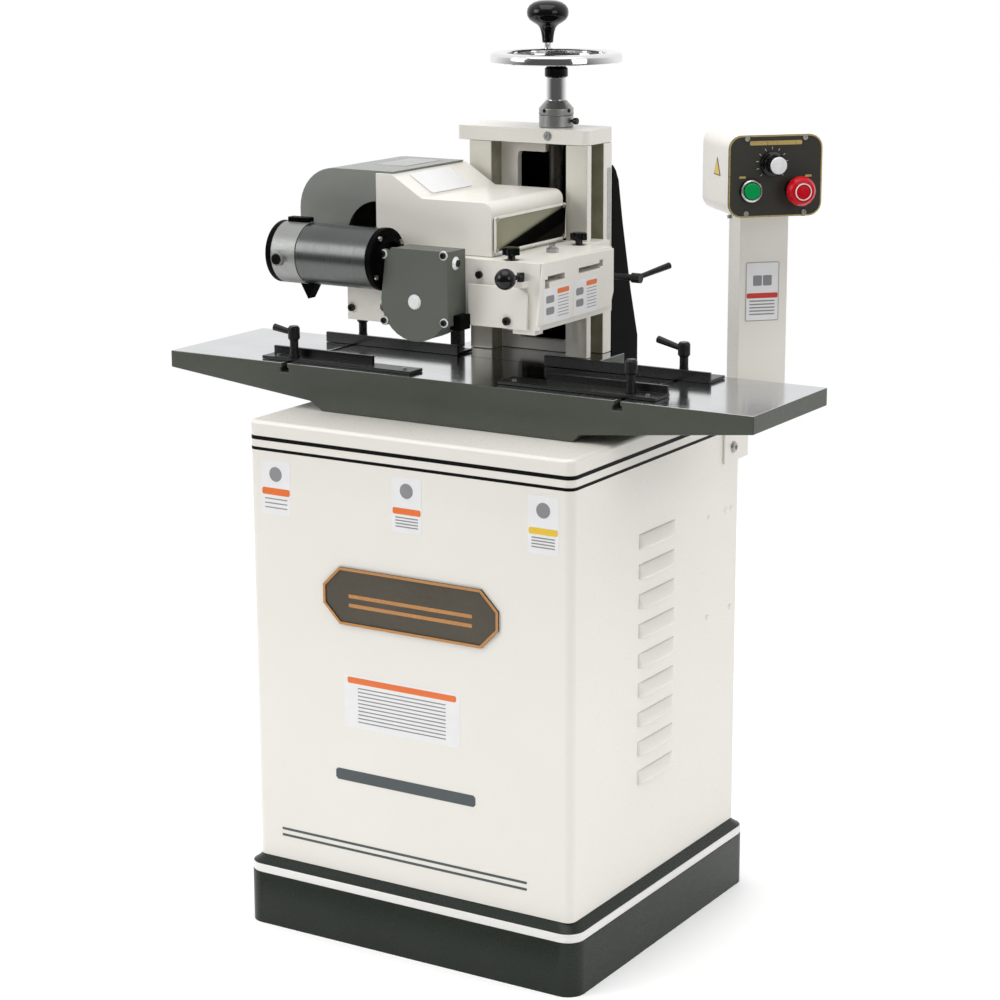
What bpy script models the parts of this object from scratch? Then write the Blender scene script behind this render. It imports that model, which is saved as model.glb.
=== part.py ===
"""Thickness planer: a cabinet stand, a table, a column and a head that a handwheel raises.

Metres, +Z up.  +X is the way the stock leaves, -Y is the operator's side, and the
origin is on the floor under the middle of the plinth.
"""
import math

import bmesh
import bpy
from mathutils import Matrix, Vector

GAP = 0.0004

PLINTH_X = 0.2625
PLINTH_Y = 0.2465
PLINTH_HEIGHT = 0.0965
CABINET_X = 0.2495
CABINET_Y = 0.2335
CABINET_TOP = 0.7080
LID_LOW = 0.6850
CABINET_CORNER = 0.012
SHEET = 0.0025
LOUVRE_COUNT = 9
LOUVRE_PITCH = 0.0405

TABLE_X = 0.4500
TABLE_FRONT = -0.1406
TABLE_BACK = 0.0729
TABLE_TOP = 0.7684
TABLE_PLATE = 0.020
SLOT_X = (-0.2555, 0.2595)

COLUMN_LEFT = -0.103
COLUMN_RIGHT = 0.083
COLUMN_FRONT = 0.0917
COLUMN_BACK = 0.160
COLUMN_TOP = 1.0570
CAP_THICKNESS = 0.020

SCREW_X = 0.0145
SCREW_Y = 0.1270
RIM_RADIUS = 0.083
RIM_Z = 1.1705
KNOB_ANGLE = math.radians(128.6)

CUTTER_X = -0.0145
CUTTER_Z = 0.8665
CUTTER_RADIUS = 0.030
ROLLER_X = (-0.105, 0.076)
ROLLER_Z = 0.8545
ROLLER_RADIUS = 0.020
MOTOR_Z = 0.420
PULLEY_RADIUS = 0.0325
MOTOR_PULLEY_RADIUS = 0.055

HEAD_LEFT = -0.163
HEAD_RIGHT = 0.135
HEAD_FRONT = -0.120
HEAD_BACK = 0.068
HEAD_BOTTOM = 0.843
HEAD_TOP = 0.929

GEAR_X = -0.0264
GEAR_Z = 0.8738
GEAR_RADIUS = 0.052
FEED_Y = -0.1435
FEED_Z = 0.9225
FEED_RADIUS = 0.0414

POST_ORIGIN = Vector((0.270, 0.190, 0.0))
PANEL_TURN = math.radians(45.0)
PANEL_MID = 0.0217
PANEL_FACE = -0.0585
PANEL_WIDTH = 0.129
PANEL_LOW = 0.9705
PANEL_HIGH = 1.0777
BUTTON_Z = 1.0055
START_X = PANEL_MID - 0.0340
STOP_X = PANEL_MID + 0.0285
DIAL_X = PANEL_MID - 0.0050
DIAL_Z = 1.0403

HOOK_SLOTS = (
    ("front_hook", (-0.1050, 0.9035), (-0.0620, 0.9115)),
    ("front_hook_end", (-0.1120, 0.8960), (-0.1010, 0.9080)),
    ("back_hook", (-0.0260, 0.9050), (0.0310, 0.9120)),
    ("back_hook_end", (0.0290, 0.9070), (0.0380, 0.9160)),
)

CREAM = (0.78, 0.75, 0.69)
BLACK = (0.012, 0.013, 0.012)
DARK_GREY = (0.11, 0.12, 0.11)
TABLE_GREY = (0.085, 0.09, 0.08)
STEEL = (0.55, 0.56, 0.57)


def clear_scene():
    for item in list(bpy.data.objects):
        bpy.data.objects.remove(item, do_unlink=True)


def paint(name, colour, roughness, metallic):
    material = bpy.data.materials.new(name)
    material.use_nodes = True
    shader = material.node_tree.nodes["Principled BSDF"]
    shader.inputs["Base Color"].default_value = (*colour, 1.0)
    shader.inputs["Roughness"].default_value = roughness
    shader.inputs["Metallic"].default_value = metallic
    return material


def finish_mesh(name, mesh_builder, look):
    """Turn a bmesh into a named object with its own material."""
    bmesh.ops.recalc_face_normals(mesh_builder, faces=mesh_builder.faces)
    mesh = bpy.data.meshes.new(name)
    mesh_builder.to_mesh(mesh)
    mesh_builder.free()
    item = bpy.data.objects.new(name, mesh)
    bpy.context.collection.objects.link(item)
    if look:
        mesh.materials.append(paint(name, *look))
    return item


def arc(centre, radius, start, end, steps):
    """Points on an arc, angles in degrees."""
    points = []
    for step in range(steps + 1):
        angle = math.radians(start + (end - start) * step / steps)
        points.append((centre[0] + radius * math.cos(angle), centre[1] + radius * math.sin(angle)))
    return points


def rounded(low_a, high_a, low_b, high_b, radius, steps=4):
    """A rectangle with four round corners."""
    points = arc((high_a - radius, high_b - radius), radius, 0, 90, steps)
    points += arc((low_a + radius, high_b - radius), radius, 90, 180, steps)
    points += arc((low_a + radius, low_b + radius), radius, 180, 270, steps)
    points += arc((high_a - radius, low_b + radius), radius, 270, 360, steps)
    return points


def place(axis, point, along):
    """A point of an outline, at a distance along its axis."""
    if axis == "x":
        return Vector((along, point[0], point[1]))
    if axis == "y":
        return Vector((point[0], along, point[1]))
    return Vector((point[0], point[1], along))


def prism(name, outline, axis, start, end, look=None):
    """An outline pushed out along an axis."""
    builder = bmesh.new()
    corners = [builder.verts.new(place(axis, point, start)) for point in outline]
    face = builder.faces.new(corners)
    pushed = bmesh.ops.extrude_face_region(builder, geom=[face])
    moved = [part for part in pushed["geom"] if isinstance(part, bmesh.types.BMVert)]
    shift = place(axis, (0.0, 0.0), end - start)
    bmesh.ops.translate(builder, verts=moved, vec=shift)
    return finish_mesh(name, builder, look)


def block(name, low, high, look=None):
    outline = [(low[0], low[1]), (high[0], low[1]), (high[0], high[1]), (low[0], high[1])]
    return prism(name, outline, "z", low[2], high[2], look)


def turned(name, profile, centre, axis, look=None, steps=32):
    """A profile of (radius, distance) pairs turned about an axis through a point."""
    builder = bmesh.new()
    points = [builder.verts.new((radius, 0.0, height)) for radius, height in profile]
    closed = profile[0][0] > 0 or profile[-1][0] > 0
    pairs = list(zip(points, points[1:]))
    if closed:
        pairs.append((points[-1], points[0]))
    edges = [builder.edges.new(pair) for pair in pairs]
    bmesh.ops.spin(builder, geom=points + edges, cent=(0, 0, 0), axis=(0, 0, 1),
                   angle=math.tau, steps=steps, use_merge=True)
    bmesh.ops.remove_doubles(builder, verts=builder.verts, dist=0.00001)
    turn = {"x": Matrix.Rotation(math.pi / 2, 4, "Y"),
            "y": Matrix.Rotation(-math.pi / 2, 4, "X"),
            "z": Matrix.Identity(4)}[axis]
    bmesh.ops.transform(builder, matrix=Matrix.Translation(centre) @ turn, verts=builder.verts)
    return finish_mesh(name, builder, look)


def rod(name, start, end, radius, look=None, far_radius=None, steps=20):
    """A round bar, or a cone, from one point to another."""
    start = Vector(start)
    end = Vector(end)
    builder = bmesh.new()
    bmesh.ops.create_cone(builder, cap_ends=True, segments=steps, radius1=radius,
                          radius2=radius if far_radius is None else far_radius,
                          depth=(end - start).length)
    turn = (end - start).to_track_quat("Z", "Y").to_matrix().to_4x4()
    bmesh.ops.transform(builder, matrix=Matrix.Translation((start + end) / 2) @ turn,
                        verts=builder.verts)
    return finish_mesh(name, builder, look)


def ball(name, centre, radius):
    builder = bmesh.new()
    bmesh.ops.create_uvsphere(builder, u_segments=20, v_segments=12, radius=radius)
    bmesh.ops.translate(builder, verts=builder.verts, vec=centre)
    return finish_mesh(name, builder, None)


def combine(target, other, operation):
    """Cut another shape out of a piece, or weld it on."""
    other.hide_render = True
    other.display_type = "WIRE"
    step = target.modifiers.new(other.name, "BOOLEAN")
    step.object = other
    step.operation = operation
    step.solver = "EXACT"
    return target


def cut(target, *others):
    for other in others:
        combine(target, other, "DIFFERENCE")
    return target


def weld(target, *others):
    for other in others:
        combine(target, other, "UNION")
    return target


def move_origin(item, point):
    """Put a moving piece's origin on its joint's axis."""
    point = Vector(point)
    item.data.transform(Matrix.Translation(-point))
    item.location = point
    return item


# ---------------------------------------------------------------- stand

def make_plinth():
    look = (BLACK, 0.5, 0.0)
    plinth = prism("plinth", rounded(-PLINTH_X, PLINTH_X, -PLINTH_Y, PLINTH_Y, 0.0245, 6), "z",
                   0.0, PLINTH_HEIGHT, look)
    inside_x = PLINTH_X - 0.003
    inside_y = PLINTH_Y - 0.003
    hollow = prism("plinth_hollow", rounded(-inside_x, inside_x, -inside_y, inside_y, 0.0215, 6),
                   "z", 0.004, PLINTH_HEIGHT - 0.003)
    mouth = block("plinth_mouth", (-0.240, -0.224, 0.05), (0.240, 0.224, 0.12))
    return cut(plinth, hollow, mouth)


def make_cabinet():
    low = PLINTH_HEIGHT + GAP
    high = LID_LOW - GAP
    corner = CABINET_CORNER
    body = prism("cabinet_body", rounded(-CABINET_X, CABINET_X, -CABINET_Y, CABINET_Y, corner),
                 "z", low, high, (CREAM, 0.42, 0.0))
    x = CABINET_X - SHEET
    y = CABINET_Y - SHEET
    cut(body, prism("cabinet_hollow", rounded(-x, x, -y, y, corner - SHEET), "z", 0.05, 0.75))
    cut(body, block("rear_opening", (-0.170, 0.200, 0.160), (0.170, 0.250, 0.620)))
    for number in range(LOUVRE_COUNT):
        z = 0.2330 + number * LOUVRE_PITCH
        cut(body, block("louvre_slot_%d" % number, (0.240, -0.0560, z), (0.255, 0.0350, z + 0.006)))
    return body


def make_cabinet_top():
    top = prism("cabinet_top", rounded(-CABINET_X, CABINET_X, -CABINET_Y, CABINET_Y,
                                       CABINET_CORNER), "z",
                LID_LOW, CABINET_TOP, (CREAM, 0.42, 0.0))
    x = CABINET_X - SHEET
    y = CABINET_Y - SHEET
    cut(top, prism("lid_hollow", rounded(-x, x, -y, y, CABINET_CORNER - SHEET), "z",
                   0.60, CABINET_TOP - 0.006))
    return cut(top, block("belt_hole", (-0.072, 0.128, 0.68), (0.043, 0.166, 0.72)))


def make_rear_panel():
    return prism("rear_panel", rounded(-0.185, 0.185, 0.145, 0.635, 0.008), "y",
                 CABINET_Y + GAP, CABINET_Y + GAP + 0.002, (CREAM, 0.42, 0.0))


def make_table():
    foot = CABINET_TOP + GAP
    outline = [(-TABLE_X, TABLE_TOP), (-TABLE_X, 0.7450), (-0.2136, 0.7202), (-0.194, foot),
               (0.195, foot), (0.205, 0.7182), (TABLE_X, 0.7450), (TABLE_X, TABLE_TOP)]
    table = prism("table", outline, "y", TABLE_FRONT, TABLE_BACK, (TABLE_GREY, 0.45, 0.6))
    pad = block("column_pad", (-0.130, TABLE_BACK - 0.01, foot),
                (0.105, COLUMN_BACK - GAP, TABLE_TOP))
    weld(table, pad)
    under = TABLE_TOP - TABLE_PLATE
    front = TABLE_FRONT + 0.010
    back = TABLE_BACK - 0.010
    cut(table, block("middle_pocket", (-0.184, front, 0.60), (0.184, back, under)))
    for side, name in ((-1, "left_pocket"), (1, "right_pocket")):
        ends = sorted((side * 0.285, side * 0.440))
        cut(table, block(name, (ends[0], front, 0.60), (ends[1], back, under)))
    cut(table, block("belt_notch", (-0.068, 0.132, 0.60), (0.039, 0.170, 0.80)))
    for x, name in zip(SLOT_X, ("left", "right")):
        cut(table, block(name + "_slot_neck", (x - 0.0044, -0.20, TABLE_TOP - 0.0065),
                         (x + 0.0044, 0.20, TABLE_TOP + 0.01)))
        cut(table, block(name + "_slot_tee", (x - 0.0068, -0.20, TABLE_TOP - 0.0128),
                         (x + 0.0068, 0.20, TABLE_TOP - 0.0060)))
    return table


def make_column():
    outline = [(COLUMN_LEFT, COLUMN_FRONT), (-0.068, COLUMN_FRONT), (-0.068, 0.119),
               (0.050, 0.119), (0.050, COLUMN_FRONT), (COLUMN_RIGHT, COLUMN_FRONT),
               (COLUMN_RIGHT, 0.104), (0.062, 0.104), (0.062, 0.137), (COLUMN_RIGHT, 0.137),
               (COLUMN_RIGHT, COLUMN_BACK), (0.050, COLUMN_BACK), (0.050, 0.130),
               (-0.068, 0.130), (-0.068, COLUMN_BACK), (COLUMN_LEFT, COLUMN_BACK),
               (COLUMN_LEFT, 0.137), (-0.082, 0.137), (-0.082, 0.104), (COLUMN_LEFT, 0.104)]
    column = prism("column", outline, "z", TABLE_TOP + GAP, COLUMN_TOP, (CREAM, 0.45, 0.0))
    slot = prism("column_slot", rounded(-0.042, 0.0355, 0.785, 1.0428, 0.007), "y", 0.110, 0.135)
    notch = block("screw_notch", (0.0020, 0.110, 1.020), (0.0355, 0.140, 1.065))
    return cut(column, slot, notch)


def make_column_cap():
    low = COLUMN_TOP + GAP
    cap = prism("column_cap", rounded(-0.1235, 0.083, 0.0905, 0.1655, 0.009), "z",
                low, low + CAP_THICKNESS, (CREAM, 0.42, 0.0))
    return cut(cap, rod("cap_bore", (SCREW_X, SCREW_Y, 1.0), (SCREW_X, SCREW_Y, 1.12), 0.0100))


def make_rear_cover():
    start = COLUMN_BACK + 0.0008
    low = CABINET_TOP + GAP
    outline = [(start, low), (0.2375, low), (0.2375, 0.780), (0.2169, 0.8465), (0.1923, 0.9443),
               (0.1801, 1.0034), (0.1720, 1.0180), (0.1640, 1.0255), (start, 1.0255)]
    cover = prism("rear_cover", outline, "x", -0.098, 0.083, (BLACK, 0.45, 0.0))
    inner = [(0.10, 0.60), (0.2355, 0.60), (0.2355, 0.780), (0.2149, 0.8460), (0.1903, 0.9438),
             (0.1782, 1.0024), (0.1706, 1.0162), (0.1634, 1.0235), (0.10, 1.0235)]
    cut(cover, prism("rear_cover_hollow", inner, "x", -0.096, 0.081))
    return weld(cover, block("rear_cover_tongue", (-0.066, start, 1.0180), (0.0485, 0.1632, 1.0500)))


def make_stop_post():
    return block("stop_post", (-0.1270, 0.0765, TABLE_TOP + GAP), (-0.1115, 0.0905, 0.8222),
                 (BLACK, 0.5, 0.2))


def make_main_motor():
    radius = 0.078
    profile = [(0, -0.150), (radius * 0.8, -0.150), (radius, -0.135), (radius, 0.090),
               (radius * 0.8, 0.105), (0, 0.105)]
    motor = turned("main_motor", profile, (CUTTER_X, 0.0, MOTOR_Z), "y", (DARK_GREY, 0.5, 0.3))
    foot = block("motor_foot", (CUTTER_X - 0.055, -0.100, 0.3364), (CUTTER_X + 0.055, 0.060, 0.38))
    return weld(motor, foot)


def make_motor_shelf():
    return block("motor_shelf", (CUTTER_X - 0.090, -0.130, 0.330), (CUTTER_X + 0.090, 0.090, 0.336),
                 (DARK_GREY, 0.5, 0.4))


def make_motor_pulley():
    radius = MOTOR_PULLEY_RADIUS
    profile = [(0, 0.1056), (0.010, 0.1056), (0.010, 0.136), (radius, 0.136), (radius, 0.158),
               (0, 0.158)]
    pulley = turned("motor_pulley", profile, (CUTTER_X, 0.0, MOTOR_Z), "y", (STEEL, 0.4, 0.9))
    return move_origin(pulley, (CUTTER_X, 0.147, MOTOR_Z))


def belt_outline(extra):
    """The outline that a belt takes round the two pulleys, at a distance off them."""
    top = PULLEY_RADIUS + extra
    bottom = MOTOR_PULLEY_RADIUS + extra
    lean = math.degrees(math.asin((bottom - top) / (CUTTER_Z - MOTOR_Z)))
    points = arc((CUTTER_X, CUTTER_Z), top, lean, 180 - lean, 12)
    points += arc((CUTTER_X, MOTOR_Z), bottom, 180 - lean, 360 + lean, 16)
    return points


def make_belt():
    belt = prism("drive_belt", belt_outline(0.0045), "y", 0.138, 0.156, (BLACK, 0.7, 0.0))
    return cut(belt, prism("belt_inside", belt_outline(GAP), "y", 0.130, 0.165))


# ---------------------------------------------------------------- lifting screw

def make_screw_bearing():
    low = COLUMN_TOP + CAP_THICKNESS + 2 * GAP
    profile = [(0.0079, low), (0.0235, low), (0.0235, 1.0932), (0.0079, 1.0932)]
    return turned("screw_bearing", profile, (SCREW_X, SCREW_Y, 0), "z", (STEEL, 0.3, 1.0))


def make_thumbscrew():
    start = SCREW_X + 0.0235 + GAP
    profile = [(0, start), (0.0022, start), (0.0022, start + 0.004), (0.0045, start + 0.004),
               (0.0045, start + 0.0095), (0, start + 0.0095)]
    screw = turned("dial_thumbscrew", profile, (0, SCREW_Y, 1.0860), "x", (BLACK, 0.4, 0.2), 16)
    return move_origin(screw, (start, SCREW_Y, 1.0860))


def make_lead_screw():
    profile = [(0, 0.868), (0.0092, 0.868), (0.0095, 0.870), (0.0095, 1.0545), (0.0075, 1.0560),
               (0.0075, 1.160), (0, 1.160)]
    screw = turned("lead_screw", profile, (SCREW_X, SCREW_Y, 0), "z", (STEEL, 0.35, 1.0), 24)
    return move_origin(screw, (SCREW_X, SCREW_Y, 1.0))


def make_dial_collar():
    profile = [(0.0079, 1.0936), (0.0235, 1.0936), (0.0235, 1.1025), (0.0136, 1.1136),
               (0.0136, 1.1440), (0.0079, 1.1440)]
    collar = turned("dial_collar", profile, (SCREW_X, SCREW_Y, 0), "z", (STEEL, 0.2, 1.0))
    return move_origin(collar, (SCREW_X, SCREW_Y, 1.1))


def make_handwheel():
    outer = RIM_RADIUS + 0.0065
    profile = [(0.0079, 1.1444), (0.0160, 1.1444), (0.0160, 1.1565), (0.0125, 1.1585),
               (0.0125, 1.1645), (0.0660, 1.1680), (0.0740, 1.1645), (outer, 1.1645),
               (outer, 1.1738), (outer - 0.0015, 1.1761), (outer - 0.0050, 1.1773),
               (outer - 0.0135, 1.1779), (0.0690, 1.1773), (0.0668, 1.1755), (0.0665, 1.1722),
               (0.0125, 1.1690), (0.0079, 1.1690)]
    wheel = turned("handwheel", profile, (SCREW_X, SCREW_Y, 0), "z",
                   ((0.8, 0.8, 0.82), 0.1, 1.0), 48)
    knob = knob_place()
    weld(wheel, rod("knob_spindle", (knob.x, knob.y, RIM_Z), (knob.x, knob.y, 1.2050), 0.0045,
                    steps=16))
    return move_origin(wheel, (SCREW_X, SCREW_Y, RIM_Z))


def knob_place():
    return Vector((SCREW_X + RIM_RADIUS * math.cos(KNOB_ANGLE),
                   SCREW_Y + RIM_RADIUS * math.sin(KNOB_ANGLE), 0))


def make_crank_knob():
    profile = [(0.0049, 1.1850), (0.0076, 1.1850), (0.0088, 1.1960), (0.0118, 1.2072),
               (0.0215, 1.2145), (0.0280, 1.2205), (0.0290, 1.2270), (0.0260, 1.2350),
               (0.0170, 1.2410), (0, 1.2430), (0, 1.2070), (0.0049, 1.2070)]
    knob = turned("crank_knob", profile, knob_place(), "z", (BLACK, 0.25, 0.0))
    return move_origin(knob, knob_place() + Vector((0, 0, 1.2)))


# ---------------------------------------------------------------- control pedestal

def turn_with_panel(item):
    """Set a piece drawn square to the panel at its real angle beside the cabinet."""
    item.location = POST_ORIGIN
    item.rotation_euler = (0, 0, PANEL_TURN)
    return item


def make_control_post():
    left = -0.0060
    right = 0.0620
    depth = 0.047
    outline = [(left, 0), (right, 0), (right, depth), (right - 0.003, depth),
               (right - 0.003, 0.003), (left + 0.003, 0.003), (left + 0.003, depth),
               (left, depth)]
    low = CABINET_TOP + 2 * GAP + 0.003
    post = prism("control_post", outline, "z", low + GAP, PANEL_LOW - GAP, (CREAM, 0.42, 0.0))
    return turn_with_panel(post)


def make_post_bracket():
    low = CABINET_TOP + GAP
    x = CABINET_X + GAP
    bracket = block("post_bracket", (x, 0.1775, 0.6240), (x + 0.003, 0.2485, low + 0.003),
                    (CREAM, 0.42, 0.0))
    foot = block("post_foot", (0.2180, 0.1450, low), (0.3180, 0.2800, low + 0.003))
    return weld(bracket, foot)


def make_control_box():
    left = PANEL_MID - PANEL_WIDTH / 2
    right = PANEL_MID + PANEL_WIDTH / 2
    front = PANEL_FACE + 0.0035
    box = prism("control_box", rounded(left, right, PANEL_LOW, PANEL_HIGH, 0.018, 6), "y",
                front, front + 0.108, (CREAM, 0.42, 0.0))
    hollow = prism("box_hollow", rounded(left + 0.003, right - 0.003, PANEL_LOW + 0.003,
                                         PANEL_HIGH - 0.003, 0.015, 6), "y",
                   front - 0.02, front + 0.105)
    cut(box, turn_with_panel(hollow))
    return turn_with_panel(box)


def make_control_panel():
    left = PANEL_MID - PANEL_WIDTH / 2
    right = PANEL_MID + PANEL_WIDTH / 2
    panel = prism("control_panel", rounded(left, right, PANEL_LOW, PANEL_HIGH, 0.018, 6), "y",
                  PANEL_FACE, PANEL_FACE + 0.0031, (BLACK, 0.35, 0.0))
    holes = [("start_hole", START_X, BUTTON_Z, 0.0112),
             ("stop_hole", STOP_X, BUTTON_Z, 0.0084),
             ("dial_hole", DIAL_X, DIAL_Z, 0.0044)]
    for name, x, z, radius in holes:
        hole = rod(name, (x, PANEL_FACE - 0.02, z), (x, PANEL_FACE + 0.02, z), radius, steps=24)
        cut(panel, turn_with_panel(hole))
    return turn_with_panel(panel)


def panel_piece(name, profile, x, z, look):
    """A turned piece on the panel; distances in the profile run out from the panel's face."""
    flipped = [(radius, -height) for radius, height in profile]
    piece = turned(name, flipped, (0, 0, 0), "y", look)
    local = Matrix.Rotation(PANEL_TURN, 4, "Z") @ Vector((x, PANEL_FACE, z))
    piece.location = POST_ORIGIN + local
    piece.rotation_euler = (0, 0, PANEL_TURN)
    return piece


def make_controls():
    panel_piece("start_button", [(0, -0.010), (0.0108, -0.010), (0.0108, 0.0085),
                                 (0.0100, 0.0095), (0, 0.0095)],
                START_X, BUTTON_Z, ((0.0, 0.35, 0.12), 0.3, 0.0))
    panel_piece("stop_button", [(0, -0.014), (0.0080, -0.014), (0.0080, 0.0150),
                                (0.0195, 0.0170), (0.0195, 0.0230), (0.0150, 0.0290),
                                (0, 0.0310)],
                STOP_X, BUTTON_Z, ((0.55, 0.01, 0.02), 0.3, 0.0))
    panel_piece("speed_dial", [(0, -0.010), (0.0040, -0.010), (0.0040, 0.0010), (0.0170, 0.0010),
                               (0.0165, 0.0060), (0.0120, 0.0070), (0.0112, 0.0270),
                               (0, 0.0270)],
                DIAL_X, DIAL_Z, (BLACK, 0.3, 0.0))


# ---------------------------------------------------------------- guide rails

RAIL_THICKNESS = 0.004
RAIL_HEIGHT = 0.0142
RAILS = {
    "front_left": {"base": (-0.302, -0.060), "fence": (-0.300, -0.137),
                   "base_y": (-0.127, -0.097), "fence_y": (-0.102, -0.097),
                   "lever": (SLOT_X[0], -0.1165), "arm": 184, "reach": 0.031},
    "front_right": {"base": (0.072, 0.304), "fence": (0.126, 0.303),
                    "base_y": (-0.122, -0.083), "fence_y": (-0.088, -0.083),
                    "lever": (SLOT_X[1], -0.1040), "arm": -58, "reach": 0.038},
    "back_left": {"base": (-0.302, -0.082), "fence": (-0.302, -0.082),
                  "base_y": (0.024, 0.062), "fence_y": (0.024, 0.029),
                  "lever": (SLOT_X[0], 0.0485), "arm": 120, "reach": 0.040},
    "back_right": {"base": (0.060, 0.309), "fence": (0.060, 0.309),
                   "base_y": (0.0175, 0.0616), "fence_y": (0.0175, 0.0225),
                   "lever": (SLOT_X[1], 0.0400), "arm": 170, "reach": 0.043},
}


def make_rail(side, size):
    low = TABLE_TOP + GAP
    rail = block(side + "_rail", (size["base"][0], size["base_y"][0], low),
                 (size["base"][1], size["base_y"][1], low + RAIL_THICKNESS), (BLACK, 0.4, 0.5))
    fence = block(side + "_fence", (size["fence"][0], size["fence_y"][0], low),
                  (size["fence"][1], size["fence_y"][1], low + RAIL_HEIGHT))
    weld(rail, fence)
    x, y = size["lever"]
    cut(rail, rod(side + "_bolt_hole", (x, y, 0.75), (x, y, 0.80), 0.0043))
    return rail


def make_lever(side, size):
    """A clamping lever with its own stud, whose head runs in the table's slot."""
    x, y = size["lever"]
    low = TABLE_TOP + GAP + RAIL_THICKNESS + GAP
    profile = [(0, 0.7566), (0.0055, 0.7566), (0.0055, 0.7612), (0.0034, 0.7612), (0.0034, low),
               (0.0072, low), (0.0058, 0.7830), (0.0058, 0.7960), (0.0082, 0.7990),
               (0.0082, 0.8130), (0.0060, 0.8160), (0, 0.8160)]
    lever = turned(side + "_lever", profile, (x, y, 0), "z", (BLACK, 0.4, 0.1), 20)
    angle = math.radians(size["arm"])
    start = Vector((x, y, 0.8060))
    reach = size["reach"]
    end = start + Vector((reach * math.cos(angle), reach * math.sin(angle), reach * 0.2))
    weld(lever, rod(side + "_arm", start, end, 0.0036, far_radius=0.0050, steps=12))
    return move_origin(lever, (x, y, 0.8))


# ---------------------------------------------------------------- head

def make_head_casting():
    casting = block("head_casting", (HEAD_LEFT, HEAD_FRONT, HEAD_BOTTOM),
                    (HEAD_RIGHT, HEAD_BACK, HEAD_TOP), (CREAM, 0.45, 0.0))
    weld(casting, block("left_foot", (HEAD_LEFT, HEAD_FRONT, 0.834), (-0.106, -0.097, 0.850)),
         block("right_foot", (0.0947, HEAD_FRONT, 0.8365), (0.1277, -0.100, 0.850)),
         block("lever_bracket", (0.1045, -0.1345, 0.8985), (0.1185, -0.100, 0.9061)))
    cut(casting, block("head_hollow", (-0.150, -0.096, 0.80), (0.122, 0.054, 0.917)),
        block("chip_opening", (-0.105, -0.0935, 0.90), (0.038, 0.050, 0.95)),
        block("motor_notch", (-0.170, -0.125, 0.8795), (-0.0795, -0.1012, 0.94)))
    for name, low, high in HOOK_SLOTS:
        cut(casting, block("casting_" + name, (0.110, *low), (0.140, *high)))
    bores = [("spindle_bore", CUTTER_X, CUTTER_Z, 0.0193)]
    bores += [("roller_bore_%d" % number, x, ROLLER_Z, 0.0064)
              for number, x in enumerate(ROLLER_X)]
    for name, x, z, radius in bores:
        cut(casting, rod(name, (x, -0.13, z), (x, 0.08, z), radius, steps=32))
    return casting


def make_carriage():
    low = HEAD_BOTTOM
    high = HEAD_TOP
    back = COLUMN_FRONT - 0.0005
    carriage = block("carriage", (-0.128, HEAD_BACK + GAP, low), (0.100, back, high),
                     (CREAM, 0.45, 0.0))
    weld(carriage,
         block("right_jaw", (COLUMN_RIGHT + 0.0005, HEAD_BACK + GAP, low), (0.100, 0.125, high)),
         block("right_lip", (0.0645, 0.1065, low), (0.100, 0.125, high)),
         block("left_jaw", (-0.128, HEAD_BACK + GAP, low), (COLUMN_LEFT - 0.0005, 0.125, high)),
         block("left_lip", (-0.128, 0.1065, low), (-0.0845, 0.125, high)))
    return cut(carriage, rod("spindle_hole", (CUTTER_X, 0.05, CUTTER_Z),
                             (CUTTER_X, 0.10, CUTTER_Z), 0.0110, steps=24))


def make_lift_nut():
    nut = block("lift_nut", (0.0005, COLUMN_FRONT - 0.0001, 0.892), (0.0285, 0.1352, 0.918),
                ((0.6, 0.45, 0.2), 0.4, 0.9))
    return cut(nut, rod("nut_bore", (SCREW_X, SCREW_Y, 0.85), (SCREW_X, SCREW_Y, 0.95), 0.0108,
                        steps=24))


def hood_outline(inset):
    """The hood seen from the front: high on the left, sloped, then low and round."""
    low = HEAD_TOP + GAP
    right = 0.0510 - inset
    points = [(-0.1286 + inset, low), (right, low)]
    points += arc((0.0385, 0.9870), 0.0125 - inset, 0, 90, 6)
    slope = inset * 0.8
    points += [(-0.0560 - slope, 0.9995 - inset), (-0.1030 - slope * 0.5, 1.0285 - inset),
               (-0.1286 + inset, 1.0285 - inset)]
    return points


def make_hood():
    hood = prism("hood", hood_outline(0.0), "y", -0.1005, 0.0830, (CREAM, 0.4, 0.0))
    inner = hood_outline(0.0022)
    inner[0] = (inner[0][0], 0.90)
    inner[1] = (inner[1][0], 0.90)
    cut(hood, prism("hood_hollow", inner, "y", -0.0983, 0.0808))
    cut(hood, block("window_hole", (0.040, -0.0935, 0.9385), (0.060, 0.0760, 0.9765)))
    return cut(hood, block("chip_hole", (-0.140, -0.0900, 0.940), (-0.110, 0.0730, 1.018)))


def make_window_pane():
    return block("window_pane", (0.0514, -0.0965, 0.9365), (0.0539, 0.0780, 0.9785),
                 ((0.75, 0.75, 0.5), 0.05, 0.0))


def make_window_frame():
    frame = prism("window_frame", rounded(-0.0995, 0.0820, 0.9335, 0.9815, 0.003, 2), "x",
                  0.0543, 0.0562, (CREAM, 0.4, 0.0))
    return cut(frame, block("frame_hole", (0.05, -0.0963, 0.9367), (0.06, 0.0788, 0.9783)))


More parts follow.
